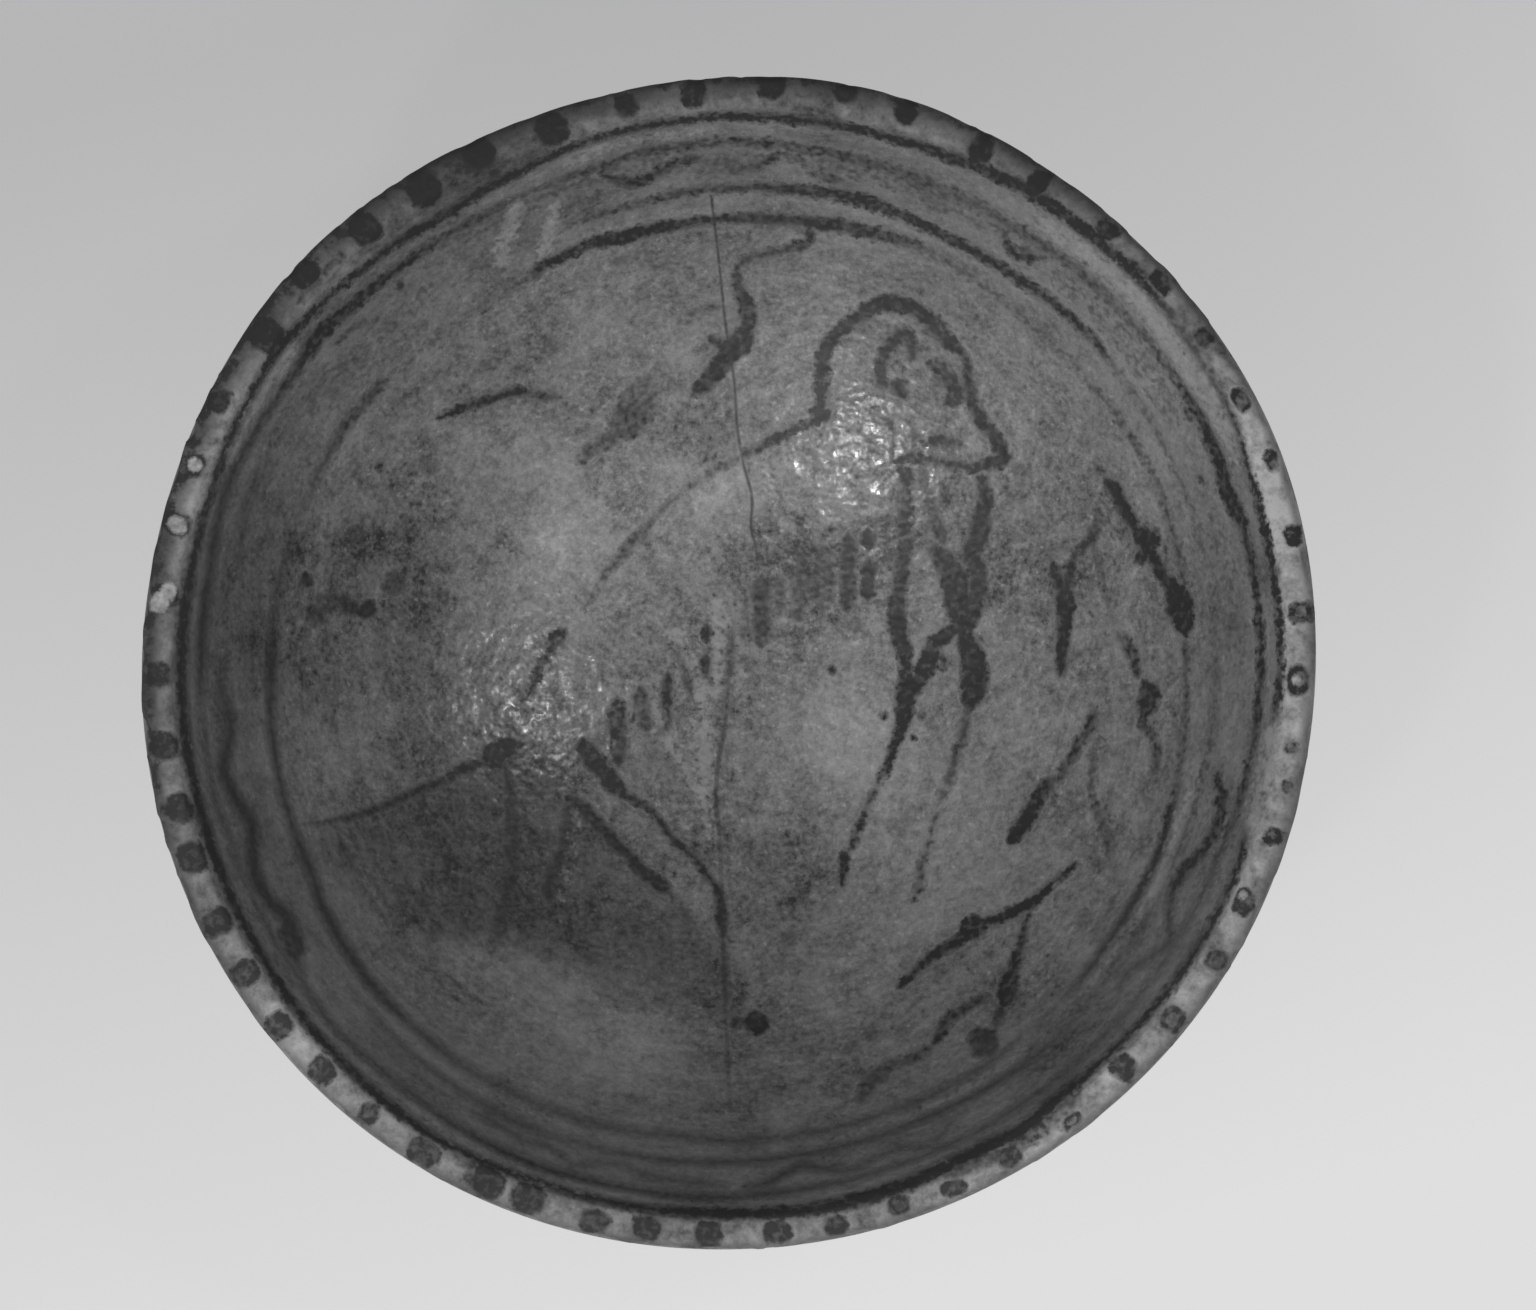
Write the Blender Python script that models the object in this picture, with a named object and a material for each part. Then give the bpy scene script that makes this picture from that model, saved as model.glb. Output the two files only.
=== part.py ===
"""A hand-formed glazed bowl with a flat lip and a low ring foot, one solid, standing on its foot.

Metres, +Z up, origin on the table under the middle of the bowl. +Y is the top of the bowl as photographed.
"""

import math

import bmesh
import bpy

# The whole bowl
RIM_RADIUS = 0.0911  # where the outside meets the top of the lip, before that edge is rounded
HEIGHT = 0.0580  # table to the top of the lip

# Wall and lip
LIP_WIDTH = 0.0060  # across the flat top of the lip
LIP_OUTER_ROUND = 0.0017
LIP_INNER_ROUND = 0.0021
FLOOR_HEIGHT = 0.0066  # table to the lowest point inside
WALL_AT_FOOT = 0.0072  # thickness square to the wall, where the foot starts

# Foot
FOOT_RADIUS = 0.0290
FOOT_RING_WIDTH = 0.0064  # the flat ring that touches the table
FOOT_RECESS = 0.0014  # how far the middle of the underside is hollowed
FOOT_ROUND = 0.0013
FOOT_FILLET = 0.0024  # in the corner where the foot meets the wall

# How far the hand-formed outline strays from a circle: waves round the rim, metres, degrees to a crest
OUTLINE_WAVES = (
    (2, 0.00050, 46.1),
    (4, 0.00013, -33.6),
    (5, 0.00016, 4.8),
    (6, 0.00023, 18.0),
    (7, 0.00013, -23.9),
)
LIP_RISE = 0.0003  # the lip's top rises and falls by this much, twice round
LIP_RISE_CREST = 130.0  # degrees

# Facets
ROUND_SEGMENTS = 72
INNER_STEPS = 17
OUTER_STEPS = 11
CORNER_STEPS = 4

GLAZE_COLOUR = (0.115, 0.115, 0.115, 1.0)
GLAZE_ROUGHNESS = 0.33


def clear_scene():
    for thing in list(bpy.data.objects):
        bpy.data.objects.remove(thing)


def inner_curve():
    """Radius and centre height of the circle that the inside follows, from the floor to the lip's inner edge."""
    half_width = RIM_RADIUS - LIP_WIDTH
    depth = HEIGHT - FLOOR_HEIGHT
    radius = (half_width**2 + depth**2) / (2 * depth)
    return radius, FLOOR_HEIGHT + radius


def inner_point(share):
    """A point of the inside, from the middle of the floor at 0 to the lip's inner edge at 1."""
    radius, centre = inner_curve()
    angle = share * math.atan2(RIM_RADIUS - LIP_WIDTH, centre - HEIGHT)
    return radius * math.sin(angle), centre - radius * math.cos(angle)


def outer_point(share):
    """A point of the outside, from the top of the foot at 0 to the lip's outer edge at 1."""
    radius, centre = inner_curve()
    foot_angle = math.asin(FOOT_RADIUS / (radius + WALL_AT_FOOT))
    lip_angle = math.atan2(RIM_RADIUS, centre - HEIGHT)
    wall_at_lip = math.hypot(RIM_RADIUS, centre - HEIGHT) - radius
    wall = WALL_AT_FOOT + (wall_at_lip - WALL_AT_FOOT) * share
    angle = foot_angle + (lip_angle - foot_angle) * share
    return (radius + wall) * math.sin(angle), centre - (radius + wall) * math.cos(angle)


def toward(start, end):
    """The unit step from one point to another."""
    across, up = end[0] - start[0], end[1] - start[1]
    length = math.hypot(across, up)
    return across / length, up / length


def rounded_corner(before, corner, after, radius):
    """The arc that rounds a corner between two straight runs, as points."""
    back = toward(corner, before)
    ahead = toward(corner, after)
    half = math.acos(back[0] * ahead[0] + back[1] * ahead[1]) / 2
    middle = toward((0, 0), (back[0] + ahead[0], back[1] + ahead[1]))
    reach = radius / math.sin(half)
    centre = (corner[0] + middle[0] * reach, corner[1] + middle[1] * reach)
    trim = radius / math.tan(half)
    first = (corner[0] + back[0] * trim - centre[0], corner[1] + back[1] * trim - centre[1])
    last = (corner[0] + ahead[0] * trim - centre[0], corner[1] + ahead[1] * trim - centre[1])
    start = math.atan2(first[1], first[0])
    sweep = math.atan2(last[1], last[0]) - start
    sweep = (sweep + math.pi) % (2 * math.pi) - math.pi
    arc = []
    for step in range(CORNER_STEPS + 1):
        angle = start + sweep * step / CORNER_STEPS
        arc.append((centre[0] + radius * math.cos(angle), centre[1] + radius * math.sin(angle)))
    return arc


def apart(points, corner, arc):
    """The points that the rounding of a corner leaves in place."""
    room = 1.15 * max(math.dist(corner, arc[0]), math.dist(corner, arc[-1]))
    return [point for point in points if math.dist(point, corner) > room]


def profile():
    """The bowl's section as (radius, height) points, from the middle of the underside out and over to the floor."""
    recess_edge = FOOT_RADIUS - FOOT_RING_WIDTH
    underside = [
        (0.0, FOOT_RECESS),
        (recess_edge * 0.6, FOOT_RECESS),
        (recess_edge * 0.9, FOOT_RECESS * 0.55),
        (recess_edge, 0.0),
    ]
    foot_corner = (FOOT_RADIUS, 0.0)
    foot_top = outer_point(0.0)
    outside = [outer_point(step / OUTER_STEPS) for step in range(1, OUTER_STEPS)]
    inside = [inner_point(1 - step / INNER_STEPS) for step in range(1, INNER_STEPS + 1)]
    lip_outer = (RIM_RADIUS, HEIGHT)
    lip_inner = (RIM_RADIUS - LIP_WIDTH, HEIGHT)

    foot_arc = rounded_corner(underside[-1], foot_corner, foot_top, FOOT_ROUND)
    fillet = rounded_corner(foot_corner, foot_top, outside[0], FOOT_FILLET)
    outer_arc = rounded_corner(outer_point(0.97), lip_outer, lip_inner, LIP_OUTER_ROUND)
    inner_arc = rounded_corner(lip_outer, lip_inner, inner_point(0.97), LIP_INNER_ROUND)

    outside = apart(apart(outside, foot_top, fillet), lip_outer, outer_arc)
    inside = apart(inside, lip_inner, inner_arc)
    return underside + foot_arc + fillet + outside + outer_arc + inner_arc + inside


def stray(turn):
    """How far the outline lies outside a circle at an angle round the bowl, in metres at the lip."""
    return sum(
        size * math.cos(waves * (turn - math.radians(crest)))
        for waves, size, crest in OUTLINE_WAVES
    )


def placed(radius, height, turn):
    """A point of the section turned to its place, with the unevenness growing from the foot to the lip."""
    grown = max(0.0, (radius - FOOT_RADIUS) / (RIM_RADIUS - FOOT_RADIUS))
    wide = radius + stray(turn) * grown
    rise = LIP_RISE * grown**2 * math.cos(2 * (turn - math.radians(LIP_RISE_CREST)))
    return wide * math.cos(turn), wide * math.sin(turn), height + rise


def centred(points):
    """The points moved so that the outline's middle is over the origin."""
    across = [point[0] for point in points]
    along = [point[1] for point in points]
    middle_x = (min(across) + max(across)) / 2
    middle_y = (min(along) + max(along)) / 2
    return [(x - middle_x, y - middle_y, z) for x, y, z in points]


def bowl_mesh():
    section = profile()
    ring_points = section[1:-1]
    turns = [2 * math.pi * step / ROUND_SEGMENTS for step in range(ROUND_SEGMENTS)]
    points = [placed(0.0, section[0][1], 0.0)]
    for radius, height in ring_points:
        points += [placed(radius, height, turn) for turn in turns]
    points.append(placed(0.0, section[-1][1], 0.0))

    shape = bmesh.new()
    verts = [shape.verts.new(point) for point in centred(points)]
    rings = [
        verts[1 + row * ROUND_SEGMENTS : 1 + (row + 1) * ROUND_SEGMENTS]
        for row in range(len(ring_points))
    ]
    for step in range(ROUND_SEGMENTS):
        ahead = (step + 1) % ROUND_SEGMENTS
        shape.faces.new((verts[0], rings[0][ahead], rings[0][step]))
        shape.faces.new((verts[-1], rings[-1][step], rings[-1][ahead]))
        for low, high in zip(rings, rings[1:]):
            shape.faces.new((low[step], low[ahead], high[ahead], high[step]))
    bmesh.ops.triangulate(shape, faces=shape.faces)
    mesh = bpy.data.meshes.new("bowl")
    shape.to_mesh(mesh)
    shape.free()
    return mesh


def glaze():
    material = bpy.data.materials.new("glaze")
    material.use_nodes = True
    shader = material.node_tree.nodes["Principled BSDF"]
    shader.inputs["Base Color"].default_value = GLAZE_COLOUR
    shader.inputs["Roughness"].default_value = GLAZE_ROUGHNESS
    shader.inputs["Metallic"].default_value = 0.0
    return material


def main():
    clear_scene()
    mesh = bowl_mesh()
    mesh.materials.append(glaze())
    mesh.shade_smooth()
    bowl = bpy.data.objects.new("bowl", mesh)
    bpy.context.scene.collection.objects.link(bowl)


main()
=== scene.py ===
import math

import bpy
import numpy as np
from mathutils import Matrix, Vector, noise


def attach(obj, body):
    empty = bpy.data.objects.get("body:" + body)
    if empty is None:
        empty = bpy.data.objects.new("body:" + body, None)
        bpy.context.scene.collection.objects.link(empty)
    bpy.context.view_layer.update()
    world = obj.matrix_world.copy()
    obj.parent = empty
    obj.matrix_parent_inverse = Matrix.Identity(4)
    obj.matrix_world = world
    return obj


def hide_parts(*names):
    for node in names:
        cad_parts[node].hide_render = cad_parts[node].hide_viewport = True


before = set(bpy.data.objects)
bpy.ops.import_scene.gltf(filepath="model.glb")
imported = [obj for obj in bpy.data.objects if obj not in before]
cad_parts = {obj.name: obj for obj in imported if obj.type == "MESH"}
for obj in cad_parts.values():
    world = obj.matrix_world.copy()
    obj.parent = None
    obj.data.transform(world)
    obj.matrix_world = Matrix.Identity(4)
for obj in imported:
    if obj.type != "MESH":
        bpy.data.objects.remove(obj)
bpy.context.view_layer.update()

mm = 0.001

bowlForm = {  # metres and degrees, the same sizes as the solid that the glazed bowl stands for
    "rimRadius": 0.0911,
    "height": 0.0580,
    "lipWidth": 0.0060,
    "lipOuterRound": 0.0017,
    "lipInnerRound": 0.0021,
    "floorHeight": 0.0066,
    "wallAtFoot": 0.0072,
    "footRadius": 0.0290,
    "footRingWidth": 0.0064,
    "footRecess": 0.0014,
    "footRound": 0.0013,
    "footFillet": 0.0024,
    "waves": ((2, 0.50, 46.1), (4, 0.13, -33.6), (5, 0.16, 4.8), (6, 0.23, 18.0), (7, 0.13, -23.9)),  # mm
    "lipRise": 0.0003,
    "lipRiseCrest": 130.0,
}

bowlSurface = {  # what the solid leaves out: how uneven the potter and the years left it, millimetres
    "swell": 0.16,  # slow unevenness of the wall
    "swellAcross": 19.0,
    "lumps": 0.045,  # finger-sized lumps
    "lumpsAcross": 5.5,
    "lipWear": 0.42,  # how much the lip's outer edge has lost, at most
    "lipWearAcross": 6.5,
    "wearEverywhere": 0.35,  # share of that wear that the best kept stretch has too
    "rimBand": 1.3,  # lip widths that count as the rim, steadier and a little inside the solid's
    "rimSteady": 0.75,
    "rimInside": 0.13,
    "insideStep": 0.70,  # between rings of the mesh
    "floorStep": 0.90,
    "floorFrom": 0.046,  # metres from the middle where the wall's rings end and the floor's begin
    "outsideStep": 1.9,
    "around": 640,  # divisions round the lip and the painted wall
}

photoCamera = {  # where the photograph was taken from
    "imageSize": (1536, 1310),
    "bowlPixel": (728.2, 663.2),  # the middle that the painting's places are measured from
    "aimPixel": (728.9, 657.5),  # where the middle of the lip's plane shows
    "pixel": 0.00015237,  # metres in one pixel, at the lip
    "distance": 1.0,
    "tilt": 5.0,  # degrees off straight down
    "sensor": 36.0,
}


# The view of the photograph

def cameraAxes():
    tilt = math.radians(photoCamera["tilt"])
    right = np.array((1.0, 0.0, 0.0))
    up = np.array((0.0, math.cos(tilt), math.sin(tilt)))
    ahead = np.array((0.0, math.sin(tilt), -math.cos(tilt)))
    return right, up, ahead


def cameraPlace():
    right, up, ahead = cameraAxes()
    width, height = photoCamera["imageSize"]
    pixelX, pixelY = photoCamera["aimPixel"]
    aside = (width / 2 - pixelX) * photoCamera["pixel"]
    above = (pixelY - height / 2) * photoCamera["pixel"]
    lipMiddle = np.array((0.0, 0.0, bowlForm["height"]))
    return lipMiddle + right * aside + up * above - ahead * photoCamera["distance"]


def photoPixels(points):
    # where each point of the bowl shows in the photograph
    right, up, ahead = cameraAxes()
    width, height = photoCamera["imageSize"]
    focal = photoCamera["distance"] / photoCamera["pixel"]
    seen = points - cameraPlace()
    depth = seen @ ahead
    shownX = width / 2 + focal * (seen @ right) / depth
    shownY = height / 2 - focal * (seen @ up) / depth
    return np.stack((shownX, shownY), axis=1)


# The bowl's section, point by point as in the solid but finer

def innerCurve():
    halfWidth = bowlForm["rimRadius"] - bowlForm["lipWidth"]
    depth = bowlForm["height"] - bowlForm["floorHeight"]
    radius = (halfWidth**2 + depth**2) / (2 * depth)
    return radius, bowlForm["floorHeight"] + radius


def innerPoint(share):
    radius, centre = innerCurve()
    angle = share * math.atan2(bowlForm["rimRadius"] - bowlForm["lipWidth"], centre - bowlForm["height"])
    return radius * math.sin(angle), centre - radius * math.cos(angle)


def outerPoint(share):
    radius, centre = innerCurve()
    footAngle = math.asin(bowlForm["footRadius"] / (radius + bowlForm["wallAtFoot"]))
    lipAngle = math.atan2(bowlForm["rimRadius"], centre - bowlForm["height"])
    wallAtLip = math.hypot(bowlForm["rimRadius"], centre - bowlForm["height"]) - radius
    wall = bowlForm["wallAtFoot"] + (wallAtLip - bowlForm["wallAtFoot"]) * share
    angle = footAngle + (lipAngle - footAngle) * share
    return (radius + wall) * math.sin(angle), centre - (radius + wall) * math.cos(angle)


def toward(start, end):
    across, up = end[0] - start[0], end[1] - start[1]
    length = math.hypot(across, up)
    return across / length, up / length


def roundedCorner(before, corner, after, radius, steps=8):
    back = toward(corner, before)
    ahead = toward(corner, after)
    half = math.acos(back[0] * ahead[0] + back[1] * ahead[1]) / 2
    middle = toward((0, 0), (back[0] + ahead[0], back[1] + ahead[1]))
    reach = radius / math.sin(half)
    centre = (corner[0] + middle[0] * reach, corner[1] + middle[1] * reach)
    trim = radius / math.tan(half)
    first = (corner[0] + back[0] * trim - centre[0], corner[1] + back[1] * trim - centre[1])
    last = (corner[0] + ahead[0] * trim - centre[0], corner[1] + ahead[1] * trim - centre[1])
    start = math.atan2(first[1], first[0])
    sweep = math.atan2(last[1], last[0]) - start
    sweep = (sweep + math.pi) % (2 * math.pi) - math.pi
    angles = [start + sweep * step / steps for step in range(steps + 1)]
    return [(centre[0] + radius * math.cos(angle), centre[1] + radius * math.sin(angle)) for angle in angles]


def spread(points, step):
    # the same line with its points a set distance apart
    points = np.array(points)
    run = np.concatenate(([0.0], np.cumsum(np.hypot(*np.diff(points, axis=0).T))))
    count = max(2, int(round(run[-1] / step)) + 1)
    places = np.linspace(0.0, run[-1], count)
    return [(float(np.interp(p, run, points[:, 0])), float(np.interp(p, run, points[:, 1]))) for p in places]


def sectionRings():
    # every ring of the mesh from the underside's middle to the floor's: radius, height, divisions, part
    form, surface = bowlForm, bowlSurface
    around = surface["around"]
    recessEdge = form["footRadius"] - form["footRingWidth"]
    footCorner = (form["footRadius"], 0.0)
    lipOuter = (form["rimRadius"], form["height"])
    lipInner = (form["rimRadius"] - form["lipWidth"], form["height"])
    footTop = outerPoint(0.0)

    footArc = roundedCorner((recessEdge, 0.0), footCorner, footTop, form["footRound"])
    fillet = roundedCorner(footCorner, footTop, outerPoint(0.05), form["footFillet"])
    outerArc = roundedCorner(outerPoint(0.98), lipOuter, lipInner, form["lipOuterRound"])
    innerArc = roundedCorner(lipOuter, lipInner, innerPoint(0.98), form["lipInnerRound"])

    recess = [(0.0, form["footRecess"]), (recessEdge * 0.6, form["footRecess"])]
    recess += [(recessEdge * 0.9, form["footRecess"] * 0.55), (recessEdge, 0.0)]
    outside = [p for p in (outerPoint(k / 200) for k in range(201)) if fillet[-1][0] < p[0] < outerArc[0][0]]
    inside = [p for p in (innerPoint(1 - k / 300) for k in range(301)) if p[0] < innerArc[-1][0]]
    wall = [p for p in inside if p[0] > surface["floorFrom"]]
    floor = [p for p in inside if p[0] <= surface["floorFrom"]]

    rings = []

    def add(points, step, divisions, part):
        for radius, height in spread(points, step)[1:]:
            rings.append((radius, height, divisions(radius) if callable(divisions) else divisions, part))

    def floorDivisions(radius):
        return around // 2 if radius > 0.021 else around // 4 if radius > 0.006 else around // 16

    add(recess[:2], 2.0 * mm, lambda radius: around // 8 if radius > 0.006 else around // 16, "foot")
    add(recess[1:], 1.2 * mm, around // 4, "foot")
    add([(recessEdge, 0.0), footArc[0]], 1.3 * mm, around // 4, "foot")
    add(footArc, 0.4 * mm, around // 4, "foot")
    add([footArc[-1], fillet[0]], 0.6 * mm, around // 4, "foot")
    add(fillet, 0.6 * mm, around // 4, "foot")
    add([fillet[-1]] + outside + [outerArc[0]], surface["outsideStep"] * mm, around // 2, "outside")
    add(outerArc, 0.40 * mm, around, "lip")
    add([outerArc[-1], innerArc[0]], 0.55 * mm, around, "lip")
    add(innerArc, 0.40 * mm, around, "lip")
    add([innerArc[-1]] + wall, surface["insideStep"] * mm, around, "inside")
    add([wall[-1]] + floor, surface["floorStep"] * mm, floorDivisions, "inside")
    return [ring for ring in rings if ring[0] > 0.0005]


# The bowl's mesh

def stray(turns):
    # how far the rim strays from a circle
    waves = bowlForm["waves"]
    return sum(size * mm * np.cos(count * (turns - math.radians(crest))) for count, size, crest in waves)


def unevenness(points, across, seed):
    # soft noise at each point, about -1 to 1
    shift = Vector((seed * 7.3, seed * 3.1, seed * 5.7))
    scale = 1 / (across * mm)
    return np.array([noise.noise(Vector(point) * scale + shift) for point in points.tolist()]) * 1.6


def softStep(low, high, values):
    share = np.clip((values - low) / (high - low), 0.0, 1.0)
    return share * share * (3 - 2 * share)


def ringPoints(rings):
    # points, outward directions, turns and part names of all vertices, the two middle points at the ends
    form = bowlForm
    profile = [(0.0, form["footRecess"])] + [(r, z) for r, z, _, _ in rings] + [(0.0, form["floorHeight"])]
    points, outward, turnOf, partOf = [], [], [], []

    def put(radius, height, turns, out, part):
        grown = max(0.0, (radius - form["footRadius"]) / (form["rimRadius"] - form["footRadius"]))
        wide = radius + stray(turns) * grown
        rise = form["lipRise"] * grown**2 * np.cos(2 * (turns - math.radians(form["lipRiseCrest"])))
        points.append(np.stack((wide * np.cos(turns), wide * np.sin(turns), height + rise), axis=1))
        outward.append(np.stack((out[0] * np.cos(turns), out[0] * np.sin(turns), turns * 0 + out[1]), axis=1))
        turnOf.append(turns)
        partOf.extend([part] * len(turns))

    put(0.0, form["footRecess"], np.zeros(1), (0.0, -1.0), "foot")
    for index, (radius, height, divisions, part) in enumerate(rings):
        along = toward(profile[index], profile[index + 2])
        put(radius, height, np.arange(divisions) * 2 * math.pi / divisions, (along[1], -along[0]), part)
    put(0.0, form["floorHeight"], np.zeros(1), (0.0, 1.0), "inside")
    points = np.concatenate(points)
    middle = (points[:, :2].max(axis=0) + points[:, :2].min(axis=0)) / 2
    points[:, :2] -= middle
    return points, np.concatenate(outward), np.concatenate(turnOf), np.array(partOf)


def ringFaces(rings):
    # quads between rings alike, and fans of triangles where one ring has more divisions than the next
    faces, parts = [], []
    starts = np.cumsum([1] + [ring[2] for ring in rings])
    last = int(starts[-1])

    def face(corners, part):
        faces.append(corners)
        parts.append(part)

    for k in range(rings[0][2]):
        face((0, 1 + (k + 1) % rings[0][2], 1 + k), rings[0][3])
    for index in range(len(rings) - 1):
        low, high = rings[index][2], rings[index + 1][2]
        a, b = int(starts[index]), int(starts[index + 1])
        part = rings[index + 1][3]
        if low == high:
            for k in range(low):
                j = (k + 1) % low
                face((a + k, a + j, b + j, b + k), part)
            continue
        fine, coarse = max(low, high), min(low, high)
        ratio = fine // coarse
        for k in range(coarse):
            j = (k + 1) % coarse
            fineRow = [(k * ratio + step) % fine for step in range(ratio + 1)]
            half = ratio // 2
            if high > low:
                face((a + k, a + j, b + fineRow[half]), part)
                for step in range(ratio):
                    foot = a + (k if step < half else j)
                    face((foot, b + fineRow[step + 1], b + fineRow[step]), part)
            else:
                face((a + fineRow[half], b + j, b + k), part)
                for step in range(ratio):
                    top = b + (k if step < half else j)
                    face((a + fineRow[step], a + fineRow[step + 1], top), part)
    count = rings[-1][2]
    first = int(starts[-2])
    for k in range(count):
        face((first + k, first + (k + 1) % count, last), rings[-1][3])
    return faces, parts


# What the years did to the lip

lipNicks = {"count": 150, "seed": 11, "size": (0.9, 2.8), "deep": (0.08, 0.42)}  # millimetres
lipKept = {"middle": 97, "from": 38, "to": 75}  # degrees: the best kept stretch, and how far off wear sets in
lipHurt = {"middle": 347, "from": 6, "to": 16, "more": 0.35}  # a stretch that is hurt more than the rest


def turnGap(turns, degrees):
    # the angle between each direction and one given in degrees
    return np.abs((turns - math.radians(degrees) + math.pi) % (2 * math.pi) - math.pi)


def lipDamage(turns):
    # how worn the lip is by direction: least at the top of the photograph, most at the right
    kept, hurt = lipKept, lipHurt
    worn = softStep(math.radians(kept["from"]), math.radians(kept["to"]), turnGap(turns, kept["middle"]))
    near = 1 - softStep(math.radians(hurt["from"]), math.radians(hurt["to"]), turnGap(turns, hurt["middle"]))
    return np.clip(worn + hurt["more"] * near, 0, 1.3)


def weatheredBowl(points, outward, turns, parts, pixels):
    surface = bowlSurface
    radii = np.hypot(points[:, 0], points[:, 1])
    lipBand = np.isin(parts, ("lip",)) * 1.0
    glazed = np.isin(parts, ("inside", "outside", "lip")) * softStep(0.030, 0.040, radii)
    glazed = np.maximum(glazed, np.isin(parts, ("inside",)) * 1.0)
    moved = surface["swell"] * unevenness(points, surface["swellAcross"], 1) * glazed
    moved += surface["lumps"] * unevenness(points, surface["lumpsAcross"], 2) * glazed
    moved -= surface["lumps"] * 1.2 * (1 - glazed) * np.isin(parts, ("inside",))
    rim = (bowlForm["rimRadius"] - radii < bowlForm["lipWidth"] * surface["rimBand"]) * 1.0
    moved = moved * (1 - surface["rimSteady"] * rim) - surface["rimInside"] * rim
    worn = 0.5 + 0.5 * unevenness(points, surface["lipWearAcross"], 3)
    harm = lipDamage(turns)
    kept = surface["wearEverywhere"]
    moved -= surface["lipWear"] * lipBand * np.clip(worn, 0, 1) * (kept + (1 - kept) * np.minimum(harm, 1))
    rng = np.random.default_rng(lipNicks["seed"])
    edge = lipBand * softStep(bowlForm["rimRadius"] - 0.0032, bowlForm["rimRadius"] - 0.0012, radii)
    for _ in range(lipNicks["count"]):
        at, size, deep = rng.uniform(0, 360), rng.uniform(*lipNicks["size"]), rng.uniform(*lipNicks["deep"])
        away = turnGap(turns, at) * bowlForm["rimRadius"] / mm
        moved -= deep * edge * (1 - softStep(0.2 * size, size, away)) * (0.4 + 0.6 * harm)
    for turn, outer, inner, across, deep in lipFlakes:
        moved -= deep * softStep(0.0, 0.6, dotInside(pixels, turn, outer, inner, across)[0]) * lipBand
    return points + outward * (moved * mm)[:, None]


# The painting: brush strokes by their places in the photograph, in pixels, with widths in millimetres

def polarPixel(degrees, radius):
    x, y = photoCamera["bowlPixel"]
    return x + radius * math.cos(math.radians(degrees)), y - radius * math.sin(math.radians(degrees))


def fromMiddle(pixels, at=photoCamera["bowlPixel"]):
    return np.hypot(pixels[:, 0] - at[0], pixels[:, 1] - at[1])


# four painted rings; each row is degrees and a value: pixels from the bowl's middle, width, or how dark
lipLine = {
    "places": ((0, 553), (11, 553), (19, 554.5), (26, 562), (45, 562), (50, 561), (57, 560), (63, 556),
               (67, 551.6), (80, 548.5), (90, 546.4), (98.6, 543), (104, 541), (110, 535.8), (115, 532),
               (122, 529.4), (130, 535.8), (139, 543), (145, 548), (153.5, 546), (165, 544.4), (176.5, 546.4),
               (194, 547.3), (209, 549.6), (217.5, 553), (223, 554.5), (232, 557.4), (238, 558.8),
               (243.5, 554.5), (252, 550.8), (262, 551.5), (270, 550.5), (278.6, 553), (287, 551.5),
               (296, 547.3), (302, 551.6), (307.5, 546), (313, 546), (322, 548), (328, 549.3), (339, 549),
               (341, 546), (355, 550)),
    "widths": ((0, 1.2), (28, 1.3), (42, 1.8), (50, 2.1), (60, 2.1), (66, 1.8), (72, 1.4), (92, 1.4),
               (105, 1.2), (115, 1.6), (125, 1.5), (135, 1.1), (144, 1.6), (152, 1.5), (180, 2.0), (200, 1.9),
               (215, 1.6), (260, 1.5), (270, 2.0), (285, 2.4), (300, 2.4), (308, 2.0), (313, 1.3), (340, 1.3),
               (355, 1.5)),
    "dark": ((0, .95), (12, .95), (19, .9), (25, .8), (29, .5), (39, .5), (43, .95), (58, 1), (64, .9),
             (70, .9), (90, .95), (104, .9), (117, .95), (145, 1), (165, .95), (200, .95), (238, 1), (300, 1),
             (339, .97), (341.3, .7), (343, .05), (353, .05), (355, .95)),
}
secondLine = {
    "places": ((0, 533), (14, 533), (17, 530), (19, 526), (22, 531), (27, 532), (32, 530), (45, 527),
               (57, 522), (75, 520), (90, 520.8), (98.6, 518.5), (104.4, 512), (110, 511.3), (117.7, 511.3),
               (130, 515), (136, 518.5), (141, 524), (147.7, 521.4), (153.5, 527), (159, 531.5), (165, 529.5),
               (171, 526.5), (180, 527), (186, 531.5), (215, 531.5), (223, 537), (232, 534), (240.6, 537),
               (246.4, 538), (255, 535.8), (261, 535), (270, 534.3), (275, 531.5), (300, 530), (327, 528.6),
               (339, 527), (345, 529.5), (356, 532)),
    "widths": ((0, 1.3), (14, 1.3), (17, 2.2), (27, 2.2), (31, 1.7), (60, 1.8), (72, 1.7), (95, 1.8),
               (104, 1.5), (112, 1.3), (130, 1.5), (141, 2.2), (150, 1.4), (160, 1.8), (175, 1.9), (200, 1.2),
               (222, 1.3), (245, 1.6), (270, 1.4), (280, .9), (330, .9), (345, 1.2)),
    "dark": ((0, .85), (14, .8), (17, .9), (27, .9), (32, .6), (45, .5), (55, .5), (66, .45), (75, .55),
             (90, .62), (104, .62), (112, .5), (118, .5), (130, .85), (141, .9), (150, .75), (160, .85),
             (176, .9), (190, .55), (215, .55), (225, .65), (240, .7), (247, .85), (262, .85), (270, .9),
             (285, .8), (320, .65), (333, .45), (340, .65), (350, .8)),
}
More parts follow.
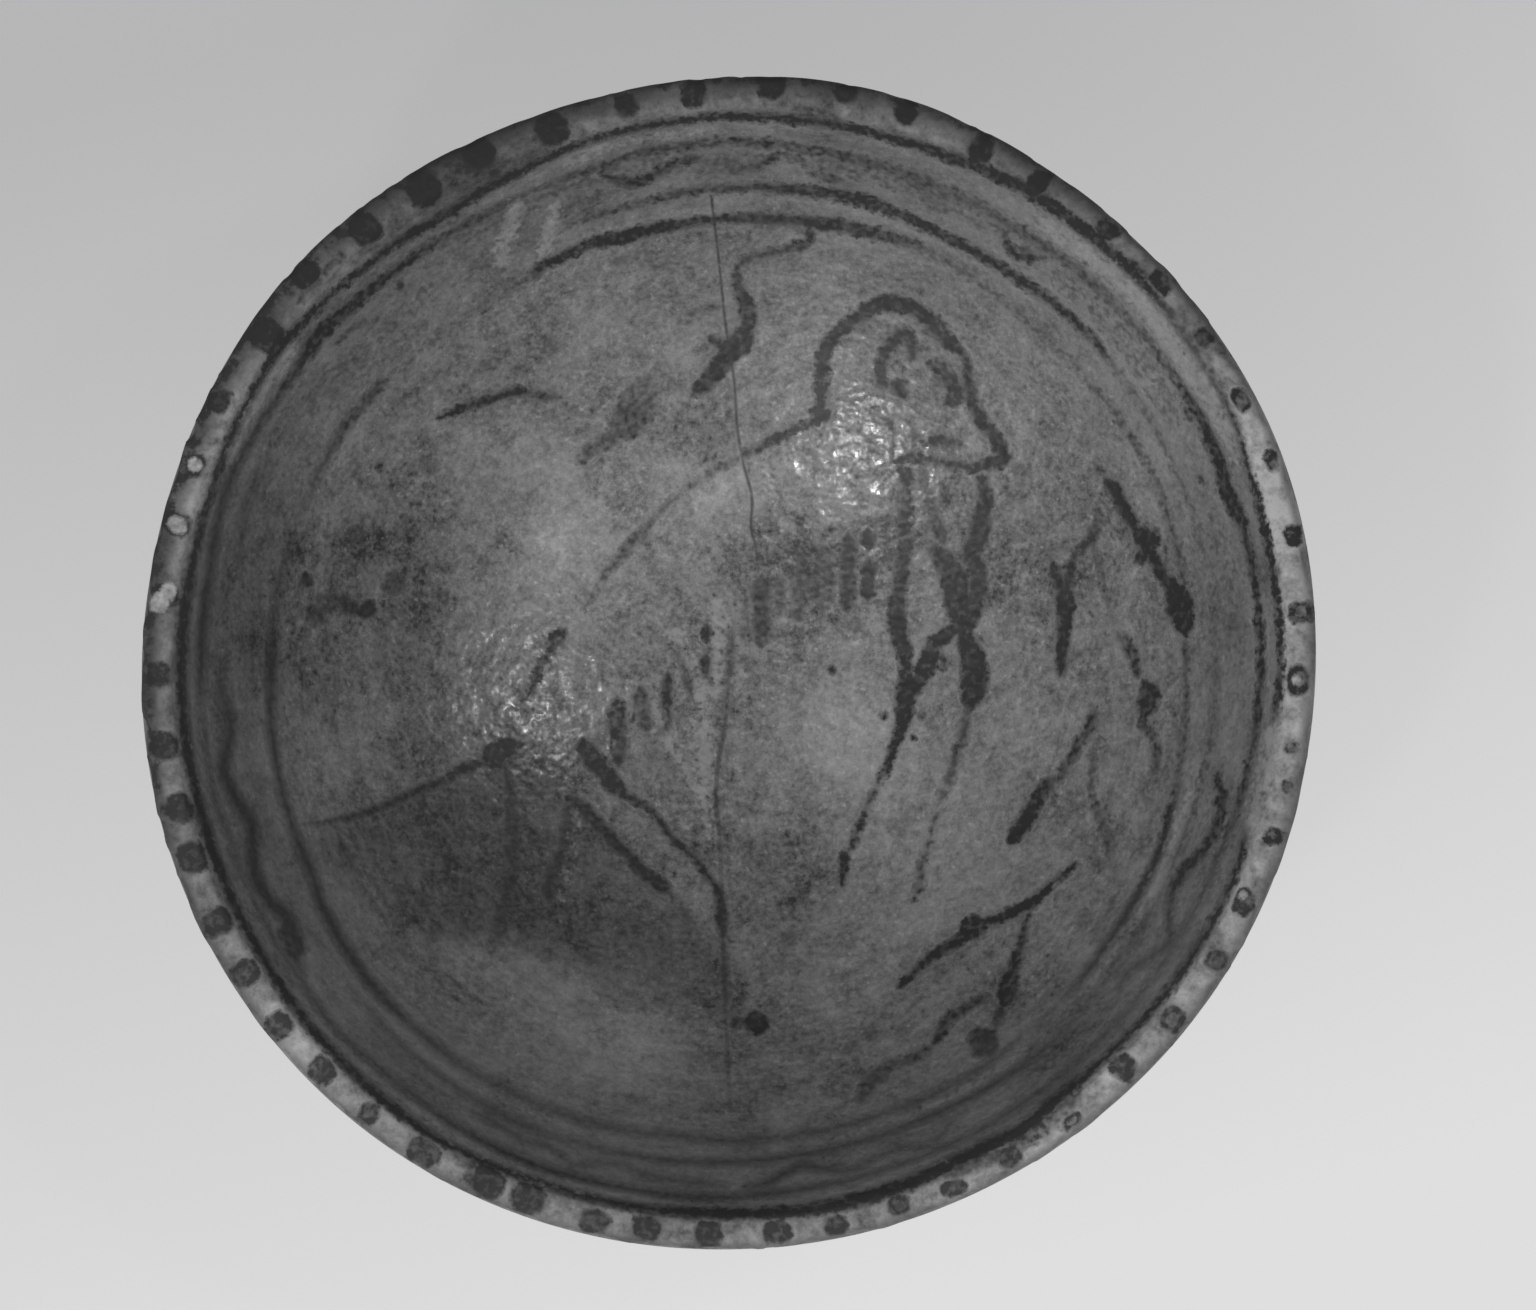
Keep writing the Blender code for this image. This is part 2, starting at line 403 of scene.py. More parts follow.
thirdLine = {
    "places": ((0, 487), (38, 487), (40, 488), (45, 487), (49.6, 484.4), (55, 481), (66, 479.5), (75, 482.4),
               (80, 479), (90, 475), (98.6, 470), (104.4, 466.6), (120, 465), (136, 465), (150, 470),
               (165, 478), (180, 486), (200, 492), (223, 498.3), (232, 502.6), (237.7, 504), (245, 505.5),
               (249, 504), (255, 501.7), (264, 500.3), (270, 498.5), (281.5, 496), (293, 495.4), (302, 497.7),
               (308, 499), (328, 491), (339, 488), (355, 488)),
    "widths": ((0, 1.2), (40, 1.3), (50, 1.6), (72, 1.9), (80, 1.9), (92, 1.5), (104, 1.3), (200, 1.2),
               (235, 1.1), (242, 1.4), (245, 2.0), (248, 1.4), (255, 1.0), (290, 1.0), (302, 1.3),
               (345, 1.2)),
    "dark": ((0, .3), (38, .35), (41, .7), (45, .88), (80, .86), (92, .65), (104, .55), (115, .14),
             (218, .14), (223, .5), (235, .65), (250, .6), (260, .75), (270, .85), (285, .8), (302, .9),
             (309, .55), (320, .25), (330, .35), (345, .45), (355, .35)),
}
fourthLine = {
    "places": ((0, 457.5), (11.5, 463), (23, 464), (32.3, 460.8), (37.5, 457), (46, 455), (66.4, 458),
               (67.5, 456.5), (75, 452), (81, 447.8), (90, 445), (93.5, 443.5), (98.6, 440.6), (104.4, 439),
               (107.3, 440.6), (113, 439), (115.4, 438.3), (117.7, 432), (139, 437.7), (141, 445),
               (144.8, 447), (147.7, 450.7), (156, 452), (165, 455), (175, 456.5), (180, 457), (188.7, 462),
               (197, 464.5), (206, 466.5), (211.7, 473.8), (217.5, 477.5), (222, 480.4), (229, 481),
               (237.7, 482.4), (249, 480.4), (258, 478), (263.7, 475), (270, 477), (281.5, 476.6),
               (298.8, 478), (318, 473.8), (328, 470.9), (336.4, 470.9), (341, 466.5), (348, 463.7),
               (356.5, 459)),
    "widths": ((0, 1.1), (56, 1.2), (66, 1.8), (75, 2.1), (82, 2.0), (88, 1.6), (93, 1.3), (99, 2.1),
               (106, 2.2), (113, 1.7), (122, 1.3), (145, 1.7), (160, 1.3), (180, 1.5), (200, 1.6), (215, 1.9),
               (235, 2.2), (250, 1.5), (300, 1.4), (320, 1.5), (340, 1.5), (350, 1.0)),
    "dark": ((0, .55), (11, .5), (32, .5), (40, .35), (55, .3), (62, .3), (67, .75), (75, .9), (82, .85),
             (88, .75), (93, .85), (100, .97), (107, .95), (109, .6), (111, .85), (115, .9), (118, .35),
             (125, .12), (139, .12), (142, .65), (148, .65), (156, .5), (162, .35), (175, .4), (180, .92),
             (195, .88), (212, .92), (222, .92), (230, .65), (240, .55), (255, .6), (268, .75), (285, .7),
             (298, .65), (304, .75), (310, .25), (317, .35), (319, .92), (330, .97), (341, .92), (344, .5),
             (358, .5)),
}

waves = (  # the wavy line on the wall, piece by piece: (degrees, pixels from the middle), widths, how dark
    ([(20.5, 510), (22, 504)], 1.3, .5), ([(42.1, 511), (43.5, 506), (46, 507), (48, 513)], 1.0, .4),
    ([(51.9, 515), (53.5, 505.5), (55, 499), (56.5, 505), (57.7, 514)], 1.4, (.6, .85, .9, .8, .5)),
    ([(63.5, 506), (65, 500), (66.5, 501), (67.7, 506)], 1.1, .55),
    ([(73.9, 511), (76, 499), (78, 495), (79.5, 496), (80.7, 503), (83, 511), (85, 507), (86.5, 498),
      (88, 495), (90.5, 496), (92.5, 503), (94.7, 505), (97.5, 498), (100.6, 489.5), (103.3, 497),
      (104.9, 506)], (1.3, 1.4, 1.4, 1.6, 1.5, 1.8, 1.8),
     (.45, .45, .5, .5, .45, .5, .65, .7, .5, .35, .45, .65, .78, .78, .7, .55)),
    ([(130.5, 503), (131.5, 497)], 1.6, .6), ([(135.3, 491), (138, 502.6), (141, 505.5)], 1.0, .5),
    ([(180, 510), (183, 506), (186.5, 501), (189.2, 505.5), (191.5, 515.6), (194, 514), (196.7, 507),
      (199, 503.5), (202, 512.7), (204.5, 518.5), (207.2, 517), (210, 509.8), (212.3, 512.7), (214, 521),
      (216.4, 528.6)], (1.8, 2.2, 2.2, 2.5, 2.4),
     (.4, .6, .8, .85, .9, .9, .9, .9, .9, .92, .92, .9, .85, .6)),
    ([(229, 515), (231.3, 508), (233, 512)], 1.0, .45),
    ([(240, 518), (244, 515), (246.5, 520), (249.5, 515.6), (252.7, 524), (255, 517), (258, 513), (261, 519),
      (266, 521), (270, 523)], 1.2, .6),
    ([(271.7, 524), (274.6, 520), (276.5, 512), (278.6, 508), (281.5, 517), (283.9, 520.8), (286.7, 515.6),
      (289.6, 514), (293, 521.4), (295.5, 511), (298, 506)], 1.3,
     (.85, .9, .85, .9, .65, .7, .65, .65, .45, .55, .35)),
    ([(316, 508), (319, 512), (322, 505.5), (324.8, 512.7), (327.6, 522.8), (330, 508.4), (332.6, 499.7),
      (335.8, 501), (338.6, 511), (342, 515.6), (345, 515), (346.2, 502.6), (348.5, 504)],
     (1.1, 1.1, 1.3, 1.4, 1.9, 1.7, 1.4, 1.4), (.35, .5, .7, .65, .7, .7, .97, .95, .8, .75, .75, .9, .55)),
    ([(290, 553), (297, 558), (303, 562), (309, 556)], 2.6, (.5, .7, .75, .5)),  # smears at the lip
    ([(240, 561), (243.5, 564)], 1.8, .6), ([(133, 563), (137, 561), (140, 562)], 1.4, .6),
    ([(42, 573), (44.5, 568), (46.5, 562)], 1.4, .7), ([(79, 441), (79.3, 430)], 1.0, .8),
    ([(112, 497), (118, 500), (124, 498)], 2.6, .22), ([(140, 488), (147, 492), (154, 488)], 3.0, .25),
    ([(156, 505), (162, 507), (168, 503)], 2.8, .28), ([(128, 478), (136, 476), (146, 480)], 2.4, .2),
    ([(58, 511), (66, 514), (76, 510), (82, 512)], 3.2, (.2, .3, .25)),
    ([(28, 508), (38, 512), (50, 509)], 3.4, .24),
    ([(86, 507), (95, 512), (106, 505), (112, 508)], 3.0, (.2, .3, .35)),
    ([(0, 508), (9, 505), (17, 509)], 3.2, .2), ([(108, 524), (116, 526), (124, 524)], 2.6, .3),
)
palePolar = (  # pale strips between the lines
    ([(22, 547), (28, 548), (36, 547), (44, 547), (55, 543)], 2.6, (.5, .75, .6)),
    ([(144, 536), (150, 538), (158, 538)], 1.5, .5),
    ([(234, 546), (242, 548), (252, 547), (262, 542)], 1.1, .4),
    ([(278, 539), (290, 536), (297, 539)], .9, .3),
    ([(92, 533), (100, 531), (108, 525), (118, 520)], 1.6, .25),
    ([(180, 537), (195, 538), (212, 541)], 1.0, .2), ([(343, 545), (348, 546), (353, 546)], 2.0, .5),
    ([(318, 483), (332, 481), (345, 478)], 1.4, .35), ([(225, 491), (236, 493), (252, 490)], 1.2, .3),
    ([(283, 487), (297, 487), (308, 486)], 1.2, .25),
)

lipDots = (  # degrees, outer and inner edge in pixels from the middle, pixels across, how solid
    (5.1, 588, 562, 23, .70), (12.8, 588, 569, 22, .80), (20.5, 588, 572, 23, .88), (27.2, 586, 567, 26, .75),
    (34.4, 586, 566, 22, .75), (41.4, 586, 567, 26, .90), (48.9, 585, 566, 26, .90), (57.2, 586, 553, 23, 1),
    (63.8, 589, 557, 26, 1), (72.0, 591, 567, 22, 1), (78.3, 593, 572, 26, .95), (85.7, 591, 565, 28, 1),
    (93.5, 583, 557, 26, .95), (100.3, 580, 554, 24, .95), (108.3, 580, 546, 35, 1), (116.1, 583, 551, 34, 1),
    (122.7, 583, 546, 34, 1), (129.9, 581, 550, 32, 1), (137.4, 588, 562, 30, 1), (144.5, 585, 547, 35, 1),
    (152.6, 583, 562, 26, .88), (159.6, 581, 557, 25, .72), (165.9, 582, 554, 24, .72),
    (173.2, 583, 553, 25, .8), (181.2, 583, 557, 24, .80), (188.4, 583, 556, 26, .85),
    (194.9, 582, 552, 29, .88), (199.9, 585, 556, 32, .85), (206.9, 589, 557, 29, .80),
    (212.7, 591, 559, 28, .80), (218.9, 590, 563, 26, .80), (225.1, 588, 562, 28, .80),
    (231.4, 588, 565, 20, .80), (238, 589, 562, 35, .88), (245.1, 588, 556, 36, .88),
    (249.5, 586, 556, 36, .88), (256.5, 585, 562, 32, .85), (261.8, 584, 558, 30, .85),
    (268, 585, 557, 29, .85), (274.9, 582, 559, 29, .80), (280.8, 582, 562, 24, .80),
    (287.5, 579, 557, 24, .80), (293.2, 580, 562, 26, .85), (299.6, 580, 557, 26, .85),
    (306.9, 579, 566, 23, .50), (314.4, 580, 553, 24, .88), (321.3, 582, 556, 28, .60),
    (328.7, 584, 559, 26, .75), (335.2, 579, 559, 28, .70), (342.4, 582, 562, 17, .70),
    (347.5, 580, 566, 14, .60), (351.5, 577, 562, 14, .60), (358.3, 582, 559, 32, .70),
)
lipFlakes = (  # glaze gone down to the pale body, measured as the dots are, and how deep in millimetres
    (159.6, 577, 562, 14, .25), (165.9, 577, 558, 17, .35), (173.9, 583, 562, 19, .40),
    (172.7, 572, 556, 18, .30), (358.4, 573, 565, 8, .15), (335.7, 570, 562, 9, .15),
    (352.5, 571, 561, 11, .15), (337.6, 568, 561, 6, .1),
)


def rowValue(rows, degrees):
    # a smooth value round the bowl from rows of degrees and value
    rows = np.array(sorted(rows), float)
    turns = np.concatenate((rows[-2:, 0] - 360, rows[:, 0], rows[:2, 0] + 360))
    values = np.concatenate((rows[-2:, 1], rows[:, 1], rows[:2, 1]))
    degrees = np.asarray(degrees) % 360
    index = np.clip(np.searchsorted(turns, degrees, side="right") - 1, 1, len(turns) - 3)
    share = (degrees - turns[index]) / (turns[index + 1] - turns[index])
    share = share * share * (3 - 2 * share)
    return values[index] * (1 - share) + values[index + 1] * share


def ringStroke(line):
    # a stroke is its points in pixels, the half width in millimetres and how dark at each, and if it closes
    degrees = np.arange(0, 360, 1.5)
    radii = rowValue(line["places"], degrees)
    points = np.array([polarPixel(turn, radius) for turn, radius in zip(degrees, radii)])
    half, dark = rowValue(line["widths"], degrees) / 2, rowValue(line["dark"], degrees)
    return {"points": points, "half": half, "dark": dark, "closed": True}


def smoothPath(points, steps):
    # a curve through every point
    points = np.array(points, float)
    padded = np.vstack((2 * points[0] - points[1], points, 2 * points[-1] - points[-2]))
    out = []
    for k in range(len(points) - 1):
        a, b, c, d = padded[k : k + 4]
        for step in range(steps):
            t = step / steps
            bend = 2 * b + (c - a) * t + (2 * a - 5 * b + 4 * c - d) * t**2
            out.append(0.5 * (bend + (3 * b - a - 3 * c + d) * t**3))
    out.append(points[-1])
    return np.array(out)


def brushStroke(points, width, dark, taper=0.6):
    # width and dark are one value, or several spread along the stroke; taper thins its two ends
    if len(points) > 2:
        line = smoothPath(points, 4)
    else:
        line = smoothPath([points[0], np.mean(points, axis=0), points[-1]], 3)
    share = np.linspace(0, 1, len(line))
    widths = np.interp(share, np.linspace(0, 1, np.size(width)), np.atleast_1d(width))
    darks = np.interp(share, np.linspace(0, 1, np.size(dark)), np.atleast_1d(dark))
    ends = taper + (1 - taper) * softStep(0.0, 0.12, np.minimum(share, 1 - share))
    return {"points": line, "half": widths * ends / 2, "dark": darks, "closed": False}


animal = (  # the eared beast, from its head to its hind legs: points, width, how dark
    ([(822, 416), (821, 393), (822, 373), (823, 357), (830, 342), (843, 328), (858, 317), (875, 307),
      (893, 303), (908, 307), (923, 315), (935, 325), (945, 338), (957, 348), (966, 361)],
     (2.3, 2.4, 2.4, 2.3, 2.2, 2.5, 2.5, 2.5, 2.3, 2.3, 2.1, 1.7),
     (.97, .97, .97, .97, .97, .97, .95, .92, .85)),
    ([(966, 361), (970, 380), (971, 397)], 1.7, (.75, .8, .9)),  # brow
    ([(970, 394), (977, 413), (987, 427), (997, 442), (1004, 457)], (1.7, 2.0, 2.2, 2.4), .97),
    ([(1009, 457), (993, 463), (973, 467), (953, 464), (930, 460), (913, 458), (893, 462)],
     (2.6, 2.0, 1.6, 1.5, 1.7, 1.9), (.97, .97, .9, .8, .9, .85)),
    ([(812, 413), (820, 414), (828, 412)], 2.8, .97),
    ([(911, 360), (912, 348), (908, 338), (902, 335), (892, 343), (884, 355), (880, 368), (881, 380),
      (886, 386)], (1.7, 2.2, 2.6, 2.0, 2.0, 2.1), (.85, .92, .95, .95, .95, .97)),  # ear
    ([(896, 380), (899, 388), (904, 398)], (2.8, 1.8), (.95, .8)),
    ([(929, 364), (943, 370), (950, 379), (954, 388), (955, 396), (948, 402)], (1.9, 2.2, 2.5, 2.9),
     (.85, .92, .95, .97)),
    ([(934, 377), (937, 384), (936, 392)], 1.4, .6),
    ([(922, 441), (943, 441), (953, 443), (962, 446)], (2.0, 1.8, 1.2), (.95, .88, .6)),  # mouth
    ([(822, 418), (812, 422), (800, 427), (780, 438), (757, 448), (740, 457)], (2.0, 1.6, 1.5, 1.3),
     (.97, .95, .92, .88, .75)),
    ([(740, 457), (715, 470), (690, 487), (668, 504), (650, 524), (630, 545), (610, 568), (597, 588),
      (583, 611)], (1.3, 1.1, 1.0, 1.3, 1.6, 1.4, 1.1), (.65, .45, .42, .52, .62, .48, .32)),
    ([(641, 536), (645, 541)], 1.8, .55),
    ([(563, 631), (556, 640), (550, 650), (540, 667), (533, 681), (528, 694), (517, 707)],
     (3.0, 2.4, 1.8, 2.0, 1.9, 1.2), (.9, .9, .7, .8, .85, .5)),  # rump
    ([(517, 707), (513, 722), (514, 740)], 1.2, (.4, .45)),
    ([(901, 466), (906, 476), (908, 486)], (1.6, 2.2, 1.6), .97),  # front leg
    ([(908, 486), (906, 505), (905, 525), (904, 553), (900, 587), (897, 603), (897, 623), (899, 637),
      (904, 653), (905, 667)], (2.2, 2.2, 2.2, 2.1, 2.3, 2.9, 3.0, 2.7, 2.5, 2.5),
     (.8, .85, .88, .9, .93, .97, .97, .97, .97)),
    ([(905, 664), (907, 683), (905, 700), (903, 720), (898, 735), (892, 752), (885, 770), (877, 785),
      (867, 807), (858, 830), (852, 845), (845, 852)],
     (2.6, 3.8, 3.4, 2.4, 2.0, 1.7, 1.2, 1.1, 1.3, 1.3, 1.4),
     (.95, .97, .97, .97, .95, .9, .75, .8, .9, .8, .85)),
    ([(845, 850), (843, 868), (842, 886)], (1.5, 1.3), (.9, .8)),
    ([(923, 470), (928, 495), (934, 517), (943, 540)], (1.3, 1.9, 2.2), (.4, .6, .6, .75)),  # chest
    ([(934, 548), (946, 564), (955, 580), (957, 597), (960, 613), (960, 628)], (2.2, 3.6, 4.4, 4.2, 3.8, 3.2),
     (.75, .88, .93, .93, .93)),
    ([(958, 626), (943, 638), (933, 647), (927, 667), (917, 683), (909, 700)], (2.6, 2.4, 2.8, 2.6, 2.6),
     .93),
    ([(943, 652), (943, 670)], 1.4, .65),
    ([(961, 628), (967, 642), (972, 657), (975, 673), (973, 692), (967, 709)], (2.8, 3.2, 3.8, 4.2, 4.2, 2.4),
     (.93, .97, .97, .97, .85)),
    ([(967, 709), (963, 730), (957, 753), (950, 777), (940, 800), (933, 830), (923, 860), (918, 890),
      (912, 902)], (2.0, 1.9, 1.7, 1.2, 1.0, 1.3, 1.6, 1.4), (.65, .6, .55, .4, .4, .55, .65, .5)),
    ([(980, 470), (983, 485), (985, 500), (981, 520), (979, 536), (972, 548), (966, 558)],
     (1.6, 2.1, 2.6, 3.2, 3.0, 2.6), (.7, .88, .93, .97, .95, .9)),  # breast
    ([(974, 552), (978, 577), (977, 592), (972, 612), (965, 628)], (2.6, 3.0, 3.0, 2.8), (.85, .9, .92, .92)),
    ([(521, 745), (506, 748), (494, 756), (484, 762)], (2.4, 3.2, 4.2, 2.6), .97),  # tail
    ([(486, 760), (468, 767), (444, 780), (422, 788), (390, 803), (372, 810), (340, 819), (301, 825)],
     (2.0, 1.5, 1.2, 1.1, 1.1, 1.0), (.97, .95, .9, .85, .8, .65, .5)),
    ([(583, 741), (586, 750), (597, 763), (613, 783), (625, 795)], (2.6, 3.2, 3.0, 2.6, 1.8),
     (.9, .97, .97, .93)),
    ([(622, 793), (634, 800), (645, 806), (657, 818), (670, 836), (683, 848), (697, 860), (707, 875),
      (717, 888)], (1.6, 1.0, .9, 1.0, 1.2, 1.2, 1.3, 1.3), (.9, .9, .93, .93, .93)),
    ([(717, 886), (721, 902), (722, 920), (723, 938)], (1.6, 2.0, 2.0, 1.4), (.9, .9, .65)),
    ([(724, 940), (725, 970), (727, 1005)], 1.3, (.5, .35)),
    ([(569, 799), (583, 809), (597, 823), (613, 840), (630, 857), (643, 871), (660, 884), (671, 894)],
     (2.2, 2.2, 1.8, 1.7, 1.8, 2.2, 2.2, 1.6), (.85, .88, .85, .88, .93, .93, .65)),
    ([(671, 894), (683, 910), (694, 928)], 1.4, (.45, .2)),
    ([(569, 806), (567, 830), (563, 853), (553, 878), (550, 897)], (1.5, 1.6, 1.7, 2.2, 2.2),
     (.65, .6, .6, .5, .5)),
    ([(505, 758), (510, 793), (513, 827), (512, 853), (516, 872)], (1.5, 1.7, 1.6, 1.7), (.55, .6, .55, .5)),
    ([(513, 872), (504, 910), (492, 955)], 1.6, (.4, .3)),
)

bellyHair = (  # the short upright strokes along the belly: top and foot, width, how dark
    ((868, 530), (868, 547), 2.0, .95), ((869, 564), (868, 598), 2.2, .97),
    ((848, 538), (848, 610), 2.4, .85), ((825, 552), (824, 606), 3.2, .5), ((808, 572), (808, 600), 3.4, .45),
    ((797, 570), (798, 620), 1.8, .45), ((762, 580), (762, 643), 2.8, .68), ((731, 632), (731, 674), 1.5, .5),
    ((707, 626), (707, 641), 1.7, .95), ((706, 656), (706, 674), 1.7, .9), ((679, 639), (692, 694), 1.5, .7),
    ((668, 675), (665, 734), 1.7, .88), ((640, 690), (646, 728), 2.4, .6), ((617, 702), (618, 762), 2.8, .8),
    ((890, 536), (889, 566), 1.2, .35), ((780, 580), (779, 614), 1.8, .35), ((655, 740), (650, 770), 1.6, .3),
    ((745, 600), (744, 640), 1.4, .3),
)

plants = (  # leaves, sprays and loose marks round the animal: points, width, how dark
    ([(1106, 480), (1115, 490), (1121, 504), (1129, 518), (1138, 532)], (2.0, 2.2, 1.9, 1.7), .97),
    ([(1137, 530), (1147, 540), (1150, 552)], (2.6, 3.8, 3.0), .97), ([(1148, 538), (1157, 530)], 1.6, .85),
    ([(1148, 552), (1136, 561)], 2.0, .9),
    ([(1150, 550), (1157, 563), (1164, 577), (1176, 590)], (2.2, 1.9, 2.1, 2.6), .97),
    ([(1172, 584), (1178, 598), (1180, 610), (1184, 625), (1186, 637)], (3.0, 4.2, 4.4, 2.8, 1.2), .97),
    ([(1186, 636), (1186, 671), (1186, 696), (1188, 716)], .9, (.6, .45, .5)),
    ([(1052, 564), (1056, 576), (1061, 590)], (1.4, 1.8), .9),
    ([(1072, 560), (1070, 574), (1067, 590)], (1.4, 1.7), .9),
    ([(1064, 588), (1065, 600), (1065, 615), (1063, 635), (1062, 654), (1060, 674)],
     (3.2, 3.2, 2.6, 2.0, 2.0, 2.1), .97),
    ([(1072, 560), (1082, 549), (1091, 539), (1096, 527), (1100, 512)], (1.3, 1.4, 1.5, 1.2),
     (.75, .8, .6, .35)),
    ([(1096, 549), (1103, 579), (1110, 607)], .9, .4),
    ([(1119, 634), (1129, 646), (1134, 660), (1138, 677)], (1.5, 1.6, 1.2), (.6, .75, .7)),
    ([(1144, 682), (1150, 692), (1148, 703), (1142, 716)], (2.2, 3.0, 2.9, 2.4), .88),
    ([(1141, 715), (1149, 732), (1157, 746), (1157, 763), (1154, 783)], (1.8, 1.4, 1.5), (.65, .6, .55, .45)),
    ([(1096, 710), (1090, 727), (1079, 743), (1068, 763), (1057, 782)], (1.6, 2.0, 1.7, 1.9),
     (.55, .75, .75, .65)),
    ([(1056, 776), (1041, 793), (1027, 818), (1018, 832), (1010, 843)], (1.9, 2.3, 2.8, 2.6, 2.2),
     (.7, .88, .97, .97)),
    ([(1093, 749), (1093, 774), (1093, 799), (1099, 816), (1108, 838), (1106, 855)], 1.2, (.4, .5, .55, .5)),
    ([(1077, 863), (1066, 873), (1053, 883)], (.9, 1.1), (.75, .85)),
    ([(1053, 883), (1036, 899), (1018, 910), (996, 919), (982, 924)], (1.4, 1.8, 1.7, 1.7), (.9, .95, .9)),
    ([(984, 922), (972, 928), (964, 936)], (3.0, 4.0, 2.6), .9),
    ([(966, 934), (951, 946), (929, 959), (907, 979), (898, 988)], (2.0, 2.0, 1.5, 1.4, 1.2),
     (.9, .95, .95, .9)),
    ([(1029, 910), (1024, 932), (1020, 950), (1013, 972)], (1.2, 1.4, 1.8, 2.4), (.6, .72, .82)),
    ([(1013, 970), (1007, 992), (1002, 1005)], (2.8, 3.2, 2.0), .88), ([(1001, 1006), (996, 1026)], 1.6, .7),
    ([(992, 1034), (985, 1042), (977, 1052)], (4.2, 5.6, 4.6), .82),
    ([(991, 997), (973, 1003), (951, 1017), (942, 1030), (933, 1046)], (1.3, 1.6, 2.0, 2.0, 1.7),
     (.6, .7, .75, .7)),
    ([(933, 1046), (915, 1057), (893, 1066), (871, 1083), (860, 1102)], (1.6, 1.6, 2.2, 2.4), .6),
    ([(866, 1036), (876, 1031)], 2.0, .45), ([(844, 1050), (858, 1042)], 1.4, .3),
    ([(1222, 834), (1206, 850), (1191, 866), (1176, 884)], (1.4, 1.4, 2.0), (.5, .6, .7)),
    ([(1096, 860), (1099, 870)], 2.6, .3), ([(1085, 912), (1083, 926)], 2.4, .28),
    ([(438, 418), (466, 407), (488, 400), (511, 393), (523, 391)], (1.2, 1.5, 1.5, 2.0), (.85, .9, .9, .93)),
    ([(522, 391), (539, 396), (561, 397)], (1.5, 1.3), (.85, .55)), ([(484, 370), (497, 362)], 3.0, .3),
    ([(540, 343), (557, 347)], 3.0, .3), ([(616, 261), (655, 262), (693, 275)], 2.4, .22),
    ([(809, 228), (811, 243)], 1.4, .8),
    ([(811, 243), (785, 250), (753, 257), (739, 264)], (1.4, 1.3, 1.2), (.8, .65, .5)),
    ([(738, 264), (737, 279), (741, 293), (748, 311), (748, 330)], (1.2, 1.8, 2.2, 2.6, 2.8),
     (.5, .65, .82, .9, .95)),
    ([(748, 328), (739, 343), (725, 357), (712, 375), (693, 394)], (3.0, 4.0, 3.0, 2.8, 2.4),
     (.95, .97, .95, .95, .9)),
    ([(709, 338), (719, 344), (732, 346)], (1.6, 2.4), (.8, .93)),
    ([(721, 306), (693, 316), (675, 327)], 1.5, (.45, .4, .25)),
    ([(579, 462), (590, 452), (602, 443), (615, 436)], (2.0, 2.4, 3.0), (.45, .55)),
    ([(617, 434), (630, 418), (641, 400), (648, 380)], (4.5, 6.0, 4.5), (.62, .6, .35)),
    ([(318, 606), (335, 604), (352, 606)], 3.0, (.35, .5, .6)),
    ([(450, 976), (466, 993), (483, 1004)], .6, .5),
    ([(228, 706), (229, 750), (234, 784), (243, 816)], 1.0, .4),
    ([(284, 925), (293, 941), (297, 957)], 3.6, .85), ([(1182, 404), (1192, 420)], 1.6, .6),
    ([(1080, 300), (1096, 312)], 1.4, .4), ([(1020, 250), (1036, 260)], 2.2, .6),
)

smallSpots = (  # single drops of paint: place, size across, how dark
    ((367, 610), 2.8, .93), ((353, 608), 2.4, .8), ((316, 615), 3.4, .55), ((307, 581), 2.0, .8),
    ((356, 535), 3.0, .45), ((406, 524), 3.0, .4), ((394, 583), 3.2, .55), ((380, 467), 1.5, .85),
    ((428, 464), 3.5, .35), ((316, 480), 1.8, .55), ((442, 597), 2.6, .4), ((484, 562), 2.0, .35),
    ((832, 669), 1.2, .95), ((883, 715), 1.6, .8), ((923, 717), 1.6, .6), ((749, 723), 1.2, .8),
    ((913, 738), .9, .8), ((795, 717), .9, .6), ((757, 1022), 3.6, .93), ((737, 1022), 2.2, .7),
    ((1174, 888), 2.3, .7), ((1221, 802), 2.4, .8), ((1221, 466), 1.7, .9), ((1229, 491), 1.8, .9),
    ((1236, 504), 1.7, .9), ((1252, 574), 1.8, .8), ((1028, 774), 1.4, .5), ((788, 938), 2.6, .45),
    ((778, 960), 1.8, .3), ((1262, 846), 1.6, .5),
)

paleMarksAndReflections = (  # where something light was drawn across the glaze or ran down it; the first two are painted reflections on the upper wall
    ([(518, 202), (510, 228), (497, 266)], 2.2, .5), ([(557, 206), (549, 230), (541, 252)], 1.9, .45),
    ([(716, 600), (717, 650), (716, 695)], 1.7, .72),
    ([(672, 625), (684, 650), (698, 690), (706, 730)], 1.5, .62),
    ([(652, 700), (672, 745), (702, 800), (714, 838)], 1.6, .5),
    ([(732, 600), (738, 650), (736, 690)], 1.4, .4), ([(700, 720), (704, 760), (710, 800)], 3.0, .45),
    ([(576, 812), (572, 850), (560, 905)], .8, .15), ([(640, 770), (660, 800), (690, 835)], 1.2, .25),
)

glazeCrack = ([(711, 195), (718, 252), (725, 320), (734, 380), (737, 425), (743, 462), (748, 480), (752, 500),
               (751, 527), (755, 545), (758, 562)], .38, (.9, .85, 1, 1, .9))
glazeSeam = ([(735, 560), (733, 640), (728, 687), (725, 727), (718, 765), (716, 802), (719, 830), (720, 851),
              (722, 904), (723, 950), (725, 1000), (728, 1060), (730, 1112)], .7,
             (.2, .4, .6, .7, .45, .6, .5, .3))


def polarStroke(points, width, dark):
    return brushStroke([polarPixel(*point) for point in points], width, dark)


